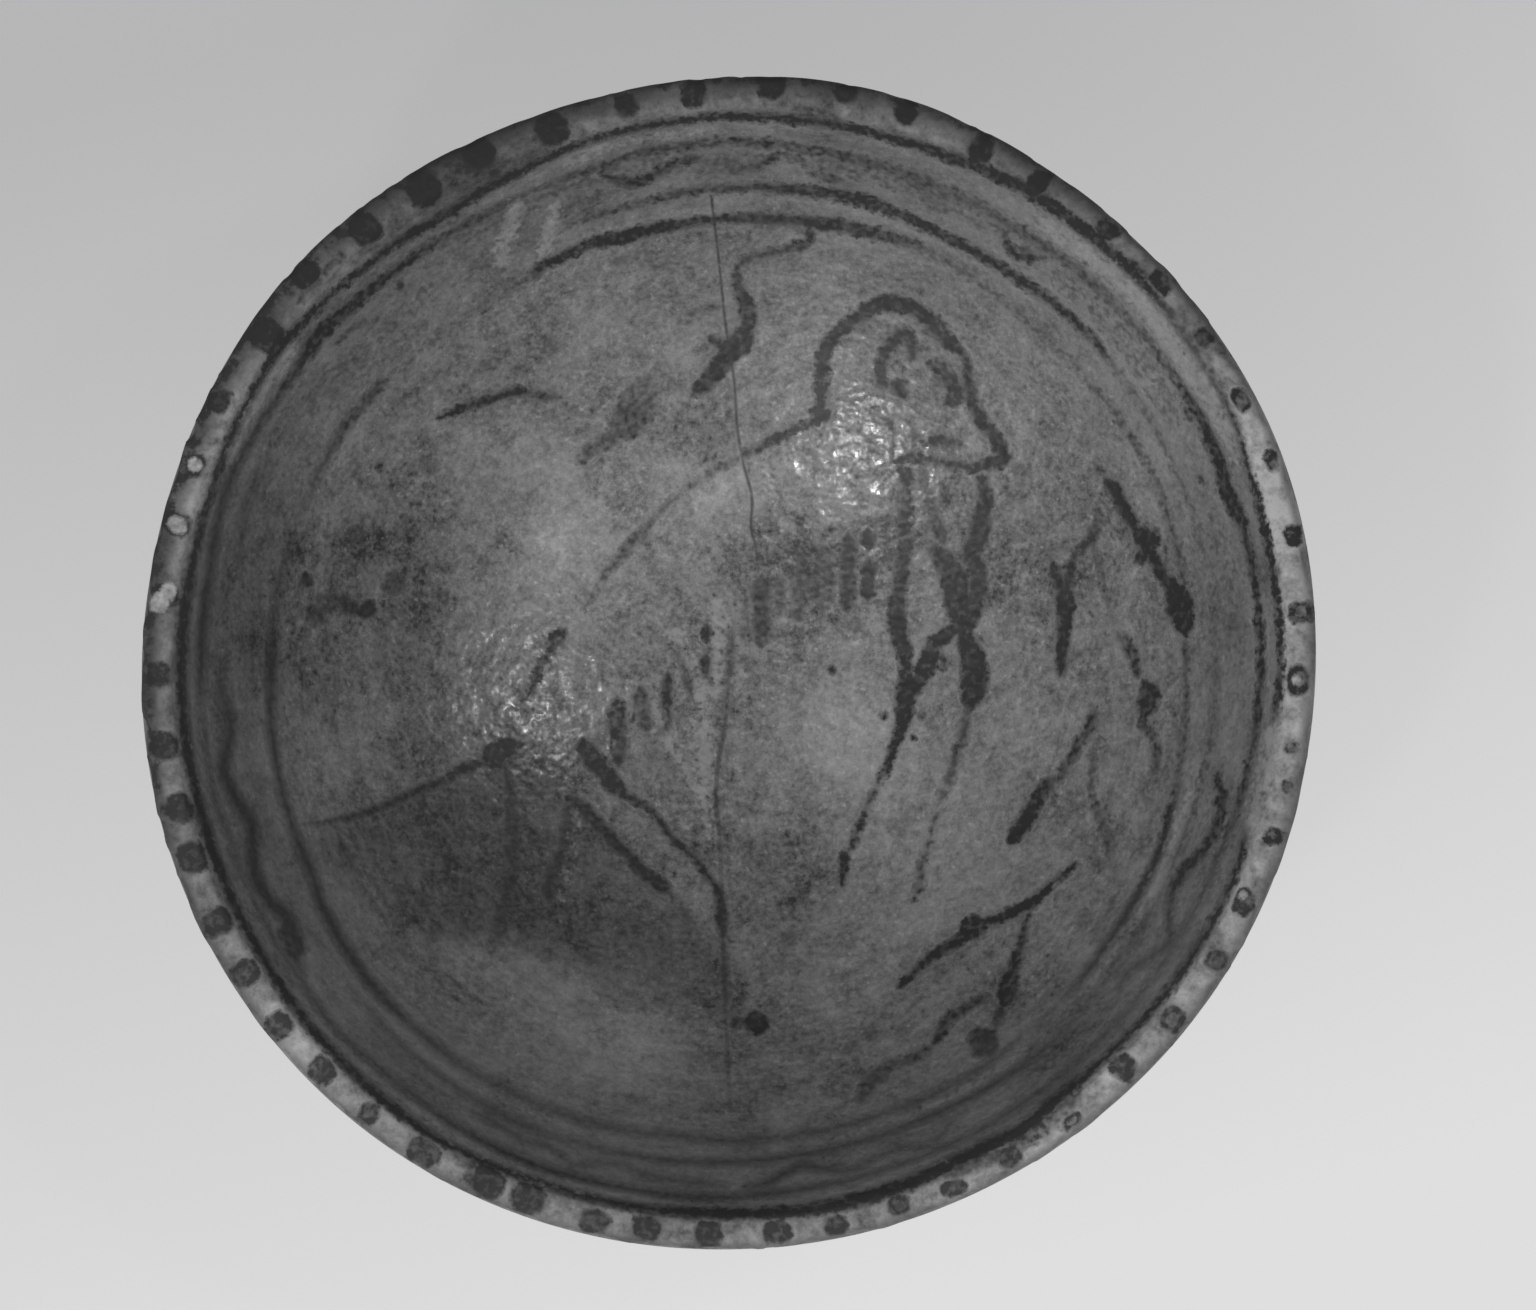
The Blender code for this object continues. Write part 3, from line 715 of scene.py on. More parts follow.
def gatherStrokes():
    made = {"brush": [ringStroke(line) for line in (lipLine, secondLine, thirdLine, fourthLine)]}
    made["brush"] += [polarStroke(*stroke) for stroke in waves]
    made["brush"] += [brushStroke(*stroke) for stroke in animal + plants]
    made["brush"] += [brushStroke((top, foot), *look, taper=0.7) for top, foot, *look in bellyHair]
    # pale marks, the first two of them painted reflections
    made["pale"] = [brushStroke(*stroke) for stroke in paleMarksAndReflections]
    made["pale"] += [polarStroke(*stroke) for stroke in palePolar]
    made["crack"] = [brushStroke(*stroke, taper=1.0) for stroke in (glazeCrack, glazeSeam)]
    return made


paintReach = 1.5  # millimetres past its edge that a stroke is still written into its layer
layerRoom = 9.0  # pixels kept between the bands of two strokes in one layer
farOff = (0.0, -2.0, 0.0)  # what a layer holds where it has no stroke: side distance, half width, how dark


def nearestOnStroke(pixels, stroke):
    # for each pixel: side distance from the stroke, how far past its end, and the place along its points
    line = stroke["points"]
    if stroke["closed"]:
        line = np.vstack((line, line[:1]))
    best = np.full(len(pixels), 1e9)
    side = np.zeros(len(pixels))
    past = np.zeros(len(pixels))
    place = np.zeros(len(pixels))
    for k in range(len(line) - 1):
        step = line[k + 1] - line[k]
        length = max(math.hypot(*step), 1e-6)
        offset = pixels - line[k]
        along = (offset @ step) / length
        across = (step[0] * offset[:, 1] - step[1] * offset[:, 0]) / length
        over = np.maximum(0.0, np.maximum(-along, along - length))
        reach = np.hypot(across, over)
        closer = reach < best
        best[closer] = reach[closer]
        side[closer] = across[closer]
        firstEnd = k == 0 and not stroke["closed"]
        lastEnd = k == len(line) - 2 and not stroke["closed"]
        beyond = np.where(along < 0, -along * firstEnd, np.maximum(0.0, along - length) * lastEnd)
        past[closer] = beyond[closer]
        if not firstEnd and not lastEnd:
            bent = closer & (over > 0)
            side[bent] = np.sign(across[bent]) * reach[bent]
        place[closer] = k + np.clip(along[closer] / length, 0, 1)
    return side, past, place


def layStrokes(group, pixels, paintable, layerName, layers):
    # spreads strokes over few layers, so that no two in one layer come near each other
    layersMade = []
    scale = photoCamera["pixel"] / mm
    for stroke in sorted(group, key=lambda s: -len(s["points"])):
        low, high = stroke["points"].min(axis=0), stroke["points"].max(axis=0)
        reach = (stroke["half"].max() + paintReach + 0.2) / scale
        near = paintable & ((pixels > low - reach) & (pixels < high + reach)).all(axis=1)
        index = np.flatnonzero(near)
        side, past, place = nearestOnStroke(pixels[index], stroke)
        values = np.arange(len(stroke["half"]) + (1 if stroke["closed"] else 0))
        wrap = (lambda a: np.append(a, a[0])) if stroke["closed"] else (lambda a: a)
        half = np.interp(place, values, wrap(stroke["half"]))
        dark = np.interp(place, values, wrap(stroke["dark"]))
        side, past = side * scale, past * scale
        away = np.hypot(side, past) - half
        band = away < paintReach
        rows = index[band]
        claimed = index[away < paintReach + layerRoom * scale]
        data = np.stack((side[band], half[band] - 1.25 * past[band], dark[band]), axis=1)
        for layer in layersMade:
            if not layer["claimed"][claimed].any():
                break
        else:
            layer = {"claimed": np.zeros(len(pixels), bool), "data": np.tile(farOff, (len(pixels), 1))}
            layersMade.append(layer)
        layer["claimed"][rows] = True
        layer["data"][rows] = data
    for number, layer in enumerate(layersMade):
        layers[f"{layerName}{number}"] = layer["data"]
    return len(layersMade)


def dotInside(pixels, turn, outer, inner, across):
    # how far inside a dot on the lip each pixel is, 1 at its middle and 0 at its edge, and its half size
    x, y = pixels[:, 0] - photoCamera["bowlPixel"][0], photoCamera["bowlPixel"][1] - pixels[:, 1]
    radii = np.hypot(x, y)
    aside = ((np.degrees(np.arctan2(y, x)) - turn + 180) % 360 - 180) * math.pi / 180 * radii / (across / 2)
    along = (radii - (outer + inner) / 2) / ((outer - inner) / 2)
    share = (np.abs(aside) ** 2.6 + np.abs(along) ** 2.6) ** (1 / 2.6)
    return 1 - share, (across + outer - inner) / 4 * photoCamera["pixel"] / mm


def dotLayer(dots, pixels, paintable, dark, rim=False):
    # dots on the lip as a stroke layer; rim leaves the middle of each free
    data = np.tile(farOff, (len(pixels), 1))
    for turn, outer, inner, across, last in dots:
        inside, half = dotInside(pixels, turn, outer, inner, across)
        rows = paintable & (inside > -1.2)
        away = (1 - inside[rows]) * half
        strength = dark(last)
        if rim:
            data[rows] = np.stack((away - 0.68 * half, away * 0 + 0.34 * half, away * 0 + strength), axis=1)
        else:
            closer = (half - away) > (data[rows, 1] - np.abs(data[rows, 0]))
            chosen = np.flatnonzero(rows)[closer]
            data[chosen] = np.stack((away, away * 0 + half, away * 0 + strength), axis=1)[closer]
    return data


def spotLayer(spots, pixels, paintable):
    # round marks: distance from the nearest one's middle, its half width, how dark
    data = np.tile(farOff, (len(pixels), 1))
    best = np.full(len(pixels), -1.6)
    for at, size, dark in spots:
        away = fromMiddle(pixels, at) * photoCamera["pixel"] / mm
        inside = size / 2 - away
        rows = paintable & (inside > best)
        best[rows] = inside[rows]
        data[rows] = np.stack((away[rows], away[rows] * 0 + size / 2, away[rows] * 0 + dark), axis=1)
    return data


broadTonesAndPaintedLight = (  # wide lighter and darker areas: partly the glaze's own uneven tone and washes, partly painted highlights where the lamps' glare spreads over the floor and painted shade on parts of the wall; place, half sizes and turn in pixels and degrees, amount
    ((430, 860), (150, 75), 28, -.38), ((600, 905), (85, 95), 0, -.3), ((520, 790), (90, 30), -10, -.1),
    ((250, 620), (55, 190), 0, -.2), ((370, 578), (75, 45), 0, -.36), ((330, 480), (90, 60), 20, -.12),
    ((600, 1025), (105, 60), 20, .5), ((590, 520), (110, 90), -25, .26), ((720, 500), (70, 50), 0, .35),
    ((850, 700), (80, 90), 0, .35), ((845, 455), (50, 50), 0, -.1), ((855, 405), (40, 30), 0, -.25),
    ((930, 500), (45, 50), 0, -.45), ((640, 640), (120, 70), -30, .15), ((790, 585), (75, 40), 0, -.35),
    ((640, 720), (60, 60), 0, .1), ((1130, 700), (60, 200), 10, -.1), ((780, 880), (60, 70), 0, -.15),
    ((680, 420), (60, 40), 0, -.1), ((920, 845), (70, 85), 20, .3), ((760, 1130), (300, 45), 0, -.1),
    ((320, 790), (50, 50), 0, .25), ((560, 440), (60, 40), 0, .15), ((1010, 400), (70, 60), 0, .12),
    ((565, 530), (45, 60), -20, .7), ((505, 610), (60, 70), 0, .3), ((852, 735), (50, 45), 0, .65),
    ((645, 300), (80, 45), 0, .08), ((1130, 365), (50, 130), -35, .32), ((1172, 470), (35, 65), -10, .35),
    ((1040, 735), (35, 35), 0, .4), ((770, 535), (45, 42), 0, -.5), ((860, 552), (90, 30), 0, -.35),
    ((1058, 550), (55, 45), 0, -.38), ((905, 375), (55, 60), 0, -.25), ((735, 430), (75, 32), 0, -.35),
    ((418, 640), (30, 85), 0, -.35), ((450, 748), (75, 30), 0, -.3), ((310, 670), (60, 50), 0, -.3),
    ((745, 1050), (60, 60), 0, -.35), ((960, 965), (60, 30), -30, -.2), ((1048, 1030), (60, 50), 0, -.3),
    ((430, 240), (100, 35), -33, -.2), ((485, 350), (50, 35), 0, .02), ((350, 345), (50, 50), 0, -.2),
    ((320, 438), (50, 30), -20, .2), ((240, 680), (25, 90), 0, .05), ((385, 872), (30, 30), 0, .35),
    ((1140, 1035), (60, 40), -40, .3), ((650, 888), (55, 28), 0, .25), ((720, 895), (30, 40), 0, .15),
    ((1060, 290), (60, 40), 35, -.1), ((960, 215), (90, 25), 24, -.15), ((395, 540), (70, 30), 0, -.2),
    ((620, 400), (50, 40), -40, -.15), ((1180, 700), (30, 60), 0, .15), ((600, 1140), (130, 50), 10, .18),
    ((590, 175), (110, 25), -16, -.25), ((860, 172), (70, 22), 14, -.2), ((255, 536), (35, 110), 0, -.2),
    ((1140, 330), (40, 30), 45, .2), ((1085, 1050), (60, 60), -45, -.22), ((920, 385), (90, 80), 0, -.12),
    ((345, 690), (70, 60), 0, -.12), ((711, 500), (24, 15), -20, .5), ((552, 535), (17, 20), 0, .4),
    ((665, 463), (16, 11), 0, .3), ((348, 546), (48, 16), -8, -.25), ((325, 602), (26, 18), 0, -.2),
    ((520, 690), (65, 55), 0, -.22), ((1020, 590), (35, 60), 0, -.12), ((1138, 352), (22, 60), -38, .12),
    ((890, 450), (30, 25), 0, -.3), ((540, 500), (40, 30), 0, -.22), ((873, 547), (40, 25), 0, -.2),
    ((660, 408), (40, 30), 0, .2), ((735, 360), (35, 60), 0, -.15), ((585, 1048), (60, 32), 12, .15),
    ((990, 325), (32, 40), 0, .18), ((926, 213), (45, 28), 20, .15), ((258, 700), (30, 80), 0, .08),
    ((1189, 466), (26, 45), -15, -.2), ((778, 871), (40, 40), 0, -.2), ((750, 930), (60, 70), 0, -.2),
    ((716, 836), (25, 30), 0, -.22), ((567, 767), (35, 20), 0, -.22), ((883, 1043), (50, 35), -30, -.22),
    ((732, 624), (20, 45), 0, -.15), ((440, 645), (40, 50), 0, -.15), ((488, 553), (30, 30), 0, -.15),
    ((491, 378), (45, 25), -15, -.15), ((958, 246), (40, 25), 25, .15), ((861, 377), (25, 25), 0, .2),
    ((961, 328), (20, 30), 0, .1), ((1200, 401), (25, 40), -30, .12), ((1043, 288), (40, 20), 35, .12),
    ((602, 377), (35, 30), 0, .15), ((657, 406), (30, 20), 0, .12), ((575, 583), (25, 25), 0, .12),
    ((940, 225), (110, 35), 22, .14), ((1140, 940), (60, 40), -50, -.22), ((538, 507), (30, 25), 0, -.12),
    ((1042, 387), (40, 35), 0, .12), ((640, 795), (40, 45), 0, -.18), ((617, 647), (35, 30), 0, -.12),
    ((337, 634), (35, 25), 0, .15), ((846, 901), (35, 30), 0, -.12), ((222, 650), (22, 100), 0, -.1),
)

darkPatch = {  # the darker glaze under the tail, between the hind legs
    "corners": ((318, 828), (400, 800), (480, 768), (520, 753), (560, 772), (574, 806), (610, 838),
                (650, 876), (690, 918), (722, 960), (722, 1012), (660, 1012), (600, 990), (549, 960),
                (500, 942), (430, 938), (375, 905), (335, 868)),
    "soft": 12,
    "amount": -.34,
}


def insidePatch(pixels, corners, soft):
    # 1 well inside the outline and 0 well outside it
    corners = np.array(corners, float)
    reach, inside = np.full(len(pixels), 1e9), np.zeros(len(pixels), bool)
    for start, end in zip(corners, np.roll(corners, -1, axis=0)):
        step, offset = end - start, pixels - start
        along = np.clip(offset @ step / (step @ step), 0, 1)
        reach = np.minimum(reach, np.hypot(*(offset - along[:, None] * step).T))
        crosses = (start[1] > pixels[:, 1]) != (end[1] > pixels[:, 1])
        at = start[0] + (pixels[:, 1] - start[1]) * step[0] / (step[1] if step[1] else 1e-9)
        inside ^= crosses & (pixels[:, 0] < at)
    return softStep(-soft, soft, np.where(inside, reach, -reach))


# the dark patch and the wide tones, painted highlights and painted shade among them
def broadToneAndPaintedLight(pixels):
    tone = darkPatch["amount"] * insidePatch(pixels, darkPatch["corners"], darkPatch["soft"])
    for at, size, turn, amount in broadTonesAndPaintedLight:
        angle = math.radians(turn)
        x, y = pixels[:, 0] - at[0], pixels[:, 1] - at[1]
        along = (x * math.cos(angle) + y * math.sin(angle)) / size[0]
        across = (y * math.cos(angle) - x * math.sin(angle)) / size[1]
        tone += amount * np.exp(-0.7 * (along**2 + across**2) ** 1.4)
    return tone


# the lip by degrees: how pale it is, how dark its outer edge, partly dirt and partly painted shade on its
# outer round, and how many pixels in that darkening reaches
lipPale = ((0, .68), (20, .95), (38, .32), (60, .28), (80, .26), (100, .26), (120, .08), (138, .28),
           (160, .54), (180, .26), (200, .32), (220, .56), (240, .38), (260, .38), (280, .42), (300, .64),
           (320, .60), (340, .58))
lipDirtAndShade = ((0, .45), (20, .5), (40, .5), (60, .75), (100, .85), (120, .72), (140, .97), (188, .97),
           (202, .65), (222, .6), (240, .5), (300, .45), (320, .5), (340, .5))
dirtAndShadeWidth = ((0, 14), (40, 13), (60, 24), (80, 26), (100, 28), (120, 20), (140, 36), (160, 27), (185, 23),
             (200, 12), (220, 13), (300, 10), (320, 14), (340, 14))
grainAreas = (((690, 600), 260, .8), ((1050, 540), 200, .35))  # grainiest: where, pixels across, how much


def graininess(pixels, radii, patch):
    # least on the wall and in the dark patch
    amount = (1.15 - 0.35 * softStep(420, 500, radii)) * (1 - 0.35 * patch)
    for at, across, more in grainAreas:
        amount = amount + more * np.exp(-((fromMiddle(pixels, at) / across) ** 2))
    return amount


def soaking(radii, degrees):
    # where the lines soaked into the glaze and went soft: the left and lower wall, and less so at the lip
    wall = softStep(430, 470, radii) * (1 - 0.6 * softStep(530, 545, radii))
    return wall * softStep(135, 165, degrees) * (1 - softStep(325, 345, degrees))


# the lip darker toward its outer edge: dirt, and painted shade on the outer round
def lipStainAndShade(pixels, turns):
    radii = fromMiddle(pixels)
    outer = 587.5 + stray(turns) / photoCamera["pixel"]
    degrees = np.degrees(turns)
    near = 1 + (radii - outer) / rowValue(dirtAndShadeWidth, degrees)
    return softStep(0.0, 0.85, near) * rowValue(lipDirtAndShade, degrees)


def bowlPiece():
    rings = sectionRings()
    points, outward, turns, parts = ringPoints(rings)
    pixels = photoPixels(points)
    shaped = weatheredBowl(points, outward, turns, parts, pixels)
    faces, faceParts = ringFaces(rings)
    mesh = bpy.data.meshes.new("bowl_glazed")
    mesh.from_pydata(shaped.tolist(), [], faces)
    mesh.update()
    mesh.shade_smooth()
    piece = bpy.data.objects.new("bowl_glazed", mesh)
    bpy.context.scene.collection.objects.link(piece)
    print("bowl mesh:", len(shaped), "points,", sum(len(face) - 2 for face in faces), "triangles")

    pixels = photoPixels(shaped)
    paintable = np.isin(parts, ("inside", "lip"))
    layers = {}
    layerCounts = {}
    for name, group in gatherStrokes().items():
        layerCounts[name] = layStrokes(group, pixels, paintable, name, layers)
    layers["lipDots"] = dotLayer(lipDots, pixels, paintable, lambda solid: solid)
    rimDark = lambda solid: 0.9 if solid < 0.89 else 0.0  # only worn dots have kept a darker rim
    layers["dotRims"] = dotLayer(lipDots, pixels, paintable, rimDark, rim=True)
    layers["flakes"] = dotLayer(lipFlakes, pixels, paintable, lambda deep: 1.0)
    layers["spots"] = spotLayer(smallSpots, pixels, paintable)
    print("painting: strokes in layers", layerCounts)

    radii = fromMiddle(pixels)
    degrees = np.degrees(turns)
    patch = insidePatch(pixels, darkPatch["corners"], 20)
    pastLine = radii - rowValue(lipLine["places"], degrees)  # pixels outside the lip's painted line
    single = {
        # wide tones, with painted highlights on the floor and painted shade on the wall
        "tone": broadToneAndPaintedLight(pixels) * np.isin(parts, ("inside",)),
        "pale": softStep(-4, 5, pastLine) * paintable,
        "dull": softStep(-18, -4, pastLine) * paintable,
        "lipPale": rowValue(lipPale, degrees),
        # dirt and painted shade toward the lip's outer edge
        "stained": lipStainAndShade(pixels, turns) * paintable,
        "grainy": graininess(pixels, radii, patch),
        "soaked": soaking(radii, degrees % 360),
        "cloudy": 1 - 0.6 * patch,
        "streaky": softStep(40 * mm, 62 * mm, np.hypot(shaped[:, 0], shaped[:, 1])),
    }
    for name, values in single.items():
        made = mesh.attributes.new(name, "FLOAT", "POINT")
        made.data.foreach_set("value", values.astype(np.float32))
    for name, values in layers.items():
        made = mesh.attributes.new(name, "FLOAT_VECTOR", "POINT")
        made.data.foreach_set("vector", values.astype(np.float32).ravel())
    return piece, faceParts, layerCounts


# Shader building

def node(tree, kind, inputs=None, **settings):
    made = tree.nodes.new(kind)
    for name, value in settings.items():
        setattr(made, name, value)
    for key, value in (inputs or {}).items():
        wire(tree, value, made.inputs[key])
    return made


def wire(tree, value, socket):
    # joins an output, or sets a plain value
    if isinstance(value, bpy.types.NodeSocket):
        tree.links.new(value, socket)
    elif isinstance(value, (int, float)) and socket.type in ("VECTOR", "RGBA"):
        socket.default_value = [value] * len(socket.default_value)
    else:
        socket.default_value = value


def calc(tree, operation, *values, clamp=False):
    made = node(tree, "ShaderNodeMath", dict(enumerate(values)), operation=operation, use_clamp=clamp)
    return made.outputs[0]


def remap(tree, value, low, high, toLow=0.0, toHigh=1.0, smooth=False):
    inputs = {"Value": value, "From Min": low, "From Max": high, "To Min": toLow, "To Max": toHigh}
    kind = "SMOOTHSTEP" if smooth else "LINEAR"
    return node(tree, "ShaderNodeMapRange", inputs, interpolation_type=kind).outputs[0]


def blend(tree, share, first, second, mode="MIX"):
    made = node(tree, "ShaderNodeMix", data_type="RGBA", blend_type=mode)
    wire(tree, share, made.inputs[0])
    wire(tree, first, made.inputs[6])
    wire(tree, second, made.inputs[7])
    return made.outputs[2]


def noiseAt(tree, place, perMetre, detail=2.0, rough=0.5, twist=0.0):
    inputs = {"Vector": place, "Scale": perMetre, "Detail": detail, "Roughness": rough, "Distortion": twist}
    return node(tree, "ShaderNodeTexNoise", inputs).outputs["Fac"]


def grey(value):
    return (value, value, value, 1.0)


def newGroup(name, inputs, outputs):
    tree = bpy.data.node_groups.new(name, "ShaderNodeTree")
    for label, kind, default in inputs:
        socket = tree.interface.new_socket(name=label, in_out="INPUT", socket_type="NodeSocket" + kind)
        if default is not None:
            socket.default_value = default
    for label, kind in outputs:
        tree.interface.new_socket(name=label, in_out="OUTPUT", socket_type="NodeSocket" + kind)
    return tree, node(tree, "NodeGroupInput").outputs, node(tree, "NodeGroupOutput").inputs


def useGroup(tree, group, inputs):
    made = node(tree, "ShaderNodeGroup", node_tree=group)
    for key, value in inputs.items():
        wire(tree, value, made.inputs[key])
    return made.outputs


def brushGroup():
    # one layer of strokes as a mask: its vector holds side distance, half width and how dark, in millimetres
    tree, given, result = newGroup(
        "brushCoverage",
        [("Layer", "Vector", None), ("Ragged", "Float", 0.0), ("Softness", "Float", 0.3),
         ("Patchy", "Float", 0.0)],
        [("Mask", "Float")],
    )
    parts = node(tree, "ShaderNodeSeparateXYZ", {0: given["Layer"]}).outputs
    inside = calc(tree, "SUBTRACT", parts[1], calc(tree, "ABSOLUTE", parts[0]))
    inside = calc(tree, "ADD", inside, given["Ragged"])
    half = calc(tree, "MULTIPLY", given["Softness"], 0.5)
    share = calc(tree, "DIVIDE", calc(tree, "ADD", inside, half), given["Softness"], clamp=True)
    cover = calc(tree, "MULTIPLY", share, parts[2])
    # thin paint breaks up most
    sway = calc(tree, "MULTIPLY", given["Patchy"], calc(tree, "MULTIPLY_ADD", cover, -0.2, 0.64))
    laid = calc(tree, "MULTIPLY_ADD", calc(tree, "ADD", cover, sway), 1.15, -0.075, clamp=True)
    wire(tree, calc(tree, "MULTIPLY", laid, calc(tree, "MULTIPLY", share, 3.0, clamp=True)), result["Mask"])
    return tree


def mottleGroup():
    # cloudy and grainy variation of a fired surface, each about -1 to 1, and separate pale and dark specks
    tree, given, result = newGroup(
        "firedMottle",
        [("Place", "Vector", None), ("Cloud Scale", "Float", 70.0), ("Grain Scale", "Float", 900.0)],
        [("Cloud", "Float"), ("Grain", "Float"), ("Pale Specks", "Float"), ("Dark Specks", "Float")],
    )
    cloud = noiseAt(tree, given["Place"], given["Cloud Scale"], 4.0, 0.62, 0.3)
    grain = noiseAt(tree, given["Place"], given["Grain Scale"], 3.0, 0.7)
    wire(tree, remap(tree, cloud, 0.3, 0.7, -1.0, 1.0), result["Cloud"])
    wire(tree, remap(tree, grain, 0.3, 0.7, -1.0, 1.0), result["Grain"])
    specks = noiseAt(tree, given["Place"], calc(tree, "MULTIPLY", given["Grain Scale"], 0.83), 1.0, 0.5)
    wire(tree, remap(tree, specks, 0.66, 0.76, smooth=True), result["Pale Specks"])
    wire(tree, remap(tree, specks, 0.34, 0.26, smooth=True), result["Dark Specks"])
    return tree


def pitGroup():
    # the glaze's fine pits and puckers as a height
    tree, given, result = newGroup(
        "glazePits",
        [("Place", "Vector", None), ("Pucker Scale", "Float", 800.0), ("Pit Scale", "Float", 1700.0)],
        [("Height", "Float")],
    )
    pucker = noiseAt(tree, given["Place"], given["Pucker Scale"], 1.0, 0.45)
    pits = noiseAt(tree, given["Place"], given["Pit Scale"], 0.0)
    wire(tree, calc(tree, "MULTIPLY_ADD", pits, 0.22, pucker), result["Height"])
    return tree


def streakGroup():
    # streaks that run round the bowl, as brushing or turning leaves them, about -1 to 1; sizes in metres
    tree, given, result = newGroup(
        "turnedStreaks",
        [("Place", "Vector", None), ("Across", "Float", 0.002), ("Along", "Float", 0.03)],
        [("Streak", "Float")],
    )
    parts = node(tree, "ShaderNodeSeparateXYZ", {0: given["Place"]}).outputs
    squares = [calc(tree, "POWER", part, 2.0) for part in (parts[0], parts[1])]
    radius = calc(tree, "SQRT", calc(tree, "ADD", *squares))
    stretch = calc(tree, "DIVIDE", given["Across"], given["Along"])
    sides = [calc(tree, "MULTIPLY", part, stretch) for part in (parts[0], parts[1])]
    place = node(tree, "ShaderNodeCombineXYZ", dict(enumerate(sides + [radius]))).outputs[0]
    streak = noiseAt(tree, place, calc(tree, "DIVIDE", 1.0, given["Across"]), 2.0, 0.6)
    wire(tree, remap(tree, streak, 0.3, 0.7, -1.0, 1.0), result["Streak"])
    return tree


paintedGlazeLook = {
    "darkGlaze": 0.03,  # greys, 0 to 1
    "lightGlaze": 0.50,
    # grey of the pale marks and of the painted reflections
    "paleStreakAndReflection": 0.31,
    "paint": 0.022,
    "lipBody": 0.46,
    "flakedBody": (0.20, 0.42),
    "crackShade": 0.03,
    "shade": 0.288,  # where plain glaze lies between its dark and its light grey
    "contrast": 0.532,  # how far all that follows carries it
    # share of the wide tones, painted highlights and painted shade among them
    "tones": 0.55,
    "fineGrain": 0.17,
    "coarseGrain": 0.16,
    "paleSpecks": 0.20,
    "darkSpecks": -0.10,
    "clumping": 0.22,  # how much the grain gathers where the clouds are dark
    "clouds": 0.15,
    "broadClouds": 0.10,
    "streaks": 0.08,
    "fineMottle": (110.0, 1150.0),  # clouds and grains in one metre
    "broadMottle": (34.0, 420.0),
    "specks": 950.0,  # in one metre
    "streakSize": (0.0016, 0.03),  # across and along, in metres
    "strokeRagged": (0.24, 0.34, 0.16),  # fine grain, coarse grain and clouds in the line of its edge
    "strokePatchy": (0.3, 0.5, 0.2),  # coarse grain, specks and fine grain in its cover
    "dotRagged": (0.30, 0.30, 0.13),  # coarse grain, clouds and fine grain
    "dotPatchy": (0.38, 0.45),  # specks and coarse grain
    "brushEdge": 0.9,  # how soft edges are, in millimetres
    "dotEdge": 0.7,
    "dropEdge": 0.8,
    "paleEdge": 1.6,
    "crackEdge": 0.35,
    "flakeEdge": 0.6,
    "soakedEdge": 0.8,  # how much softer where a stroke soaked in
    "soakedCalm": 0.5,  # how much less ragged and patchy such a stroke is
    "soakedPale": 0.15,
    # strength of the pale marks and the painted reflections
    "paleMarksAndReflections": 0.95,
    "crackDark": 0.85,
    "lipUneven": (0.30, 0.30, 0.10),  # clouds, coarse grain and fine grain on the lip
    "gloss": (0.44, 0.17),  # roughness of the glaze, dullest and glossiest
    "dullness": (0.88, 0.5, 0.9),  # least roughness of the lip, of paint and of flaked places
    "reflection": 0.40,
    "pits": (310.0, 1100.0),  # puckers and pits in one metre
    "pucker": 0.29,  # millimetres of bump
}
outerGlazeLook = {
    "darkGlaze": 0.05,  # greys, 0 to 1
    "lightGlaze": 0.34,
    "wornBody": 0.40,
    "shade": 0.42,
    "fineMottle": (90.0, 1000.0),
    "broadMottle": (30.0, 380.0),
    "streakSize": (0.0021, 0.05),
    "gloss": (0.52, 0.34),
    "pits": (430.0, 1300.0),
    "pucker": 0.16,  # millimetres of bump
    "glazeEdge": 0.0105,  # the glaze ends this high, give or take the run
    "glazeRun": 0.0026,
    "rollWidth": 0.006,  # the thicker roll of glaze above its edge
    "rollDark": -0.22,
    "lipWear": (0.0050, 0.0012),  # how far below the lip the glaze begins and ends wearing thin
}
bareBodyLook = {
    "body": 0.46,
    "stain": 0.22,
    "mottle": (130.0, 1400.0),
    "roughness": 0.85,
    "pits": (900.0, 2600.0),
    "grain": 0.08,  # millimetres of bump
}


def amountAt(tree, name):
    return node(tree, "ShaderNodeAttribute", attribute_name=name).outputs["Fac"]


def strokesAt(tree, name):
    return node(tree, "ShaderNodeAttribute", attribute_name=name).outputs["Vector"]


def newMaterial(name):
    material = bpy.data.materials.new(name)
    material.use_nodes = True
    tree = material.node_tree
    return material, tree, tree.nodes["Principled BSDF"]


def weighed(tree, *parts):
    # the sum of values, each times its weight
    total = 0.0
    for value, weight in parts:
        total = calc(tree, "MULTIPLY_ADD", value, weight, total)
    return total


def mottleAt(tree, groups, place, scales):
    inputs = {"Place": place, "Cloud Scale": scales[0], "Grain Scale": scales[1]}
    return useGroup(tree, groups["mottle"], inputs)


def streaksAt(tree, groups, place, size):
    return useGroup(tree, groups["streaks"], {"Place": place, "Across": size[0], "Along": size[1]})["Streak"]


def addPits(tree, groups, shader, place, scales, depth):
    pits = useGroup(tree, groups["pits"], {"Place": place, "Pucker Scale": scales[0], "Pit Scale": scales[1]})
    bump = node(tree, "ShaderNodeBump", {"Height": pits["Height"], "Distance": depth * mm, "Strength": 1.0})
    wire(tree, bump.outputs["Normal"], shader.inputs["Normal"])


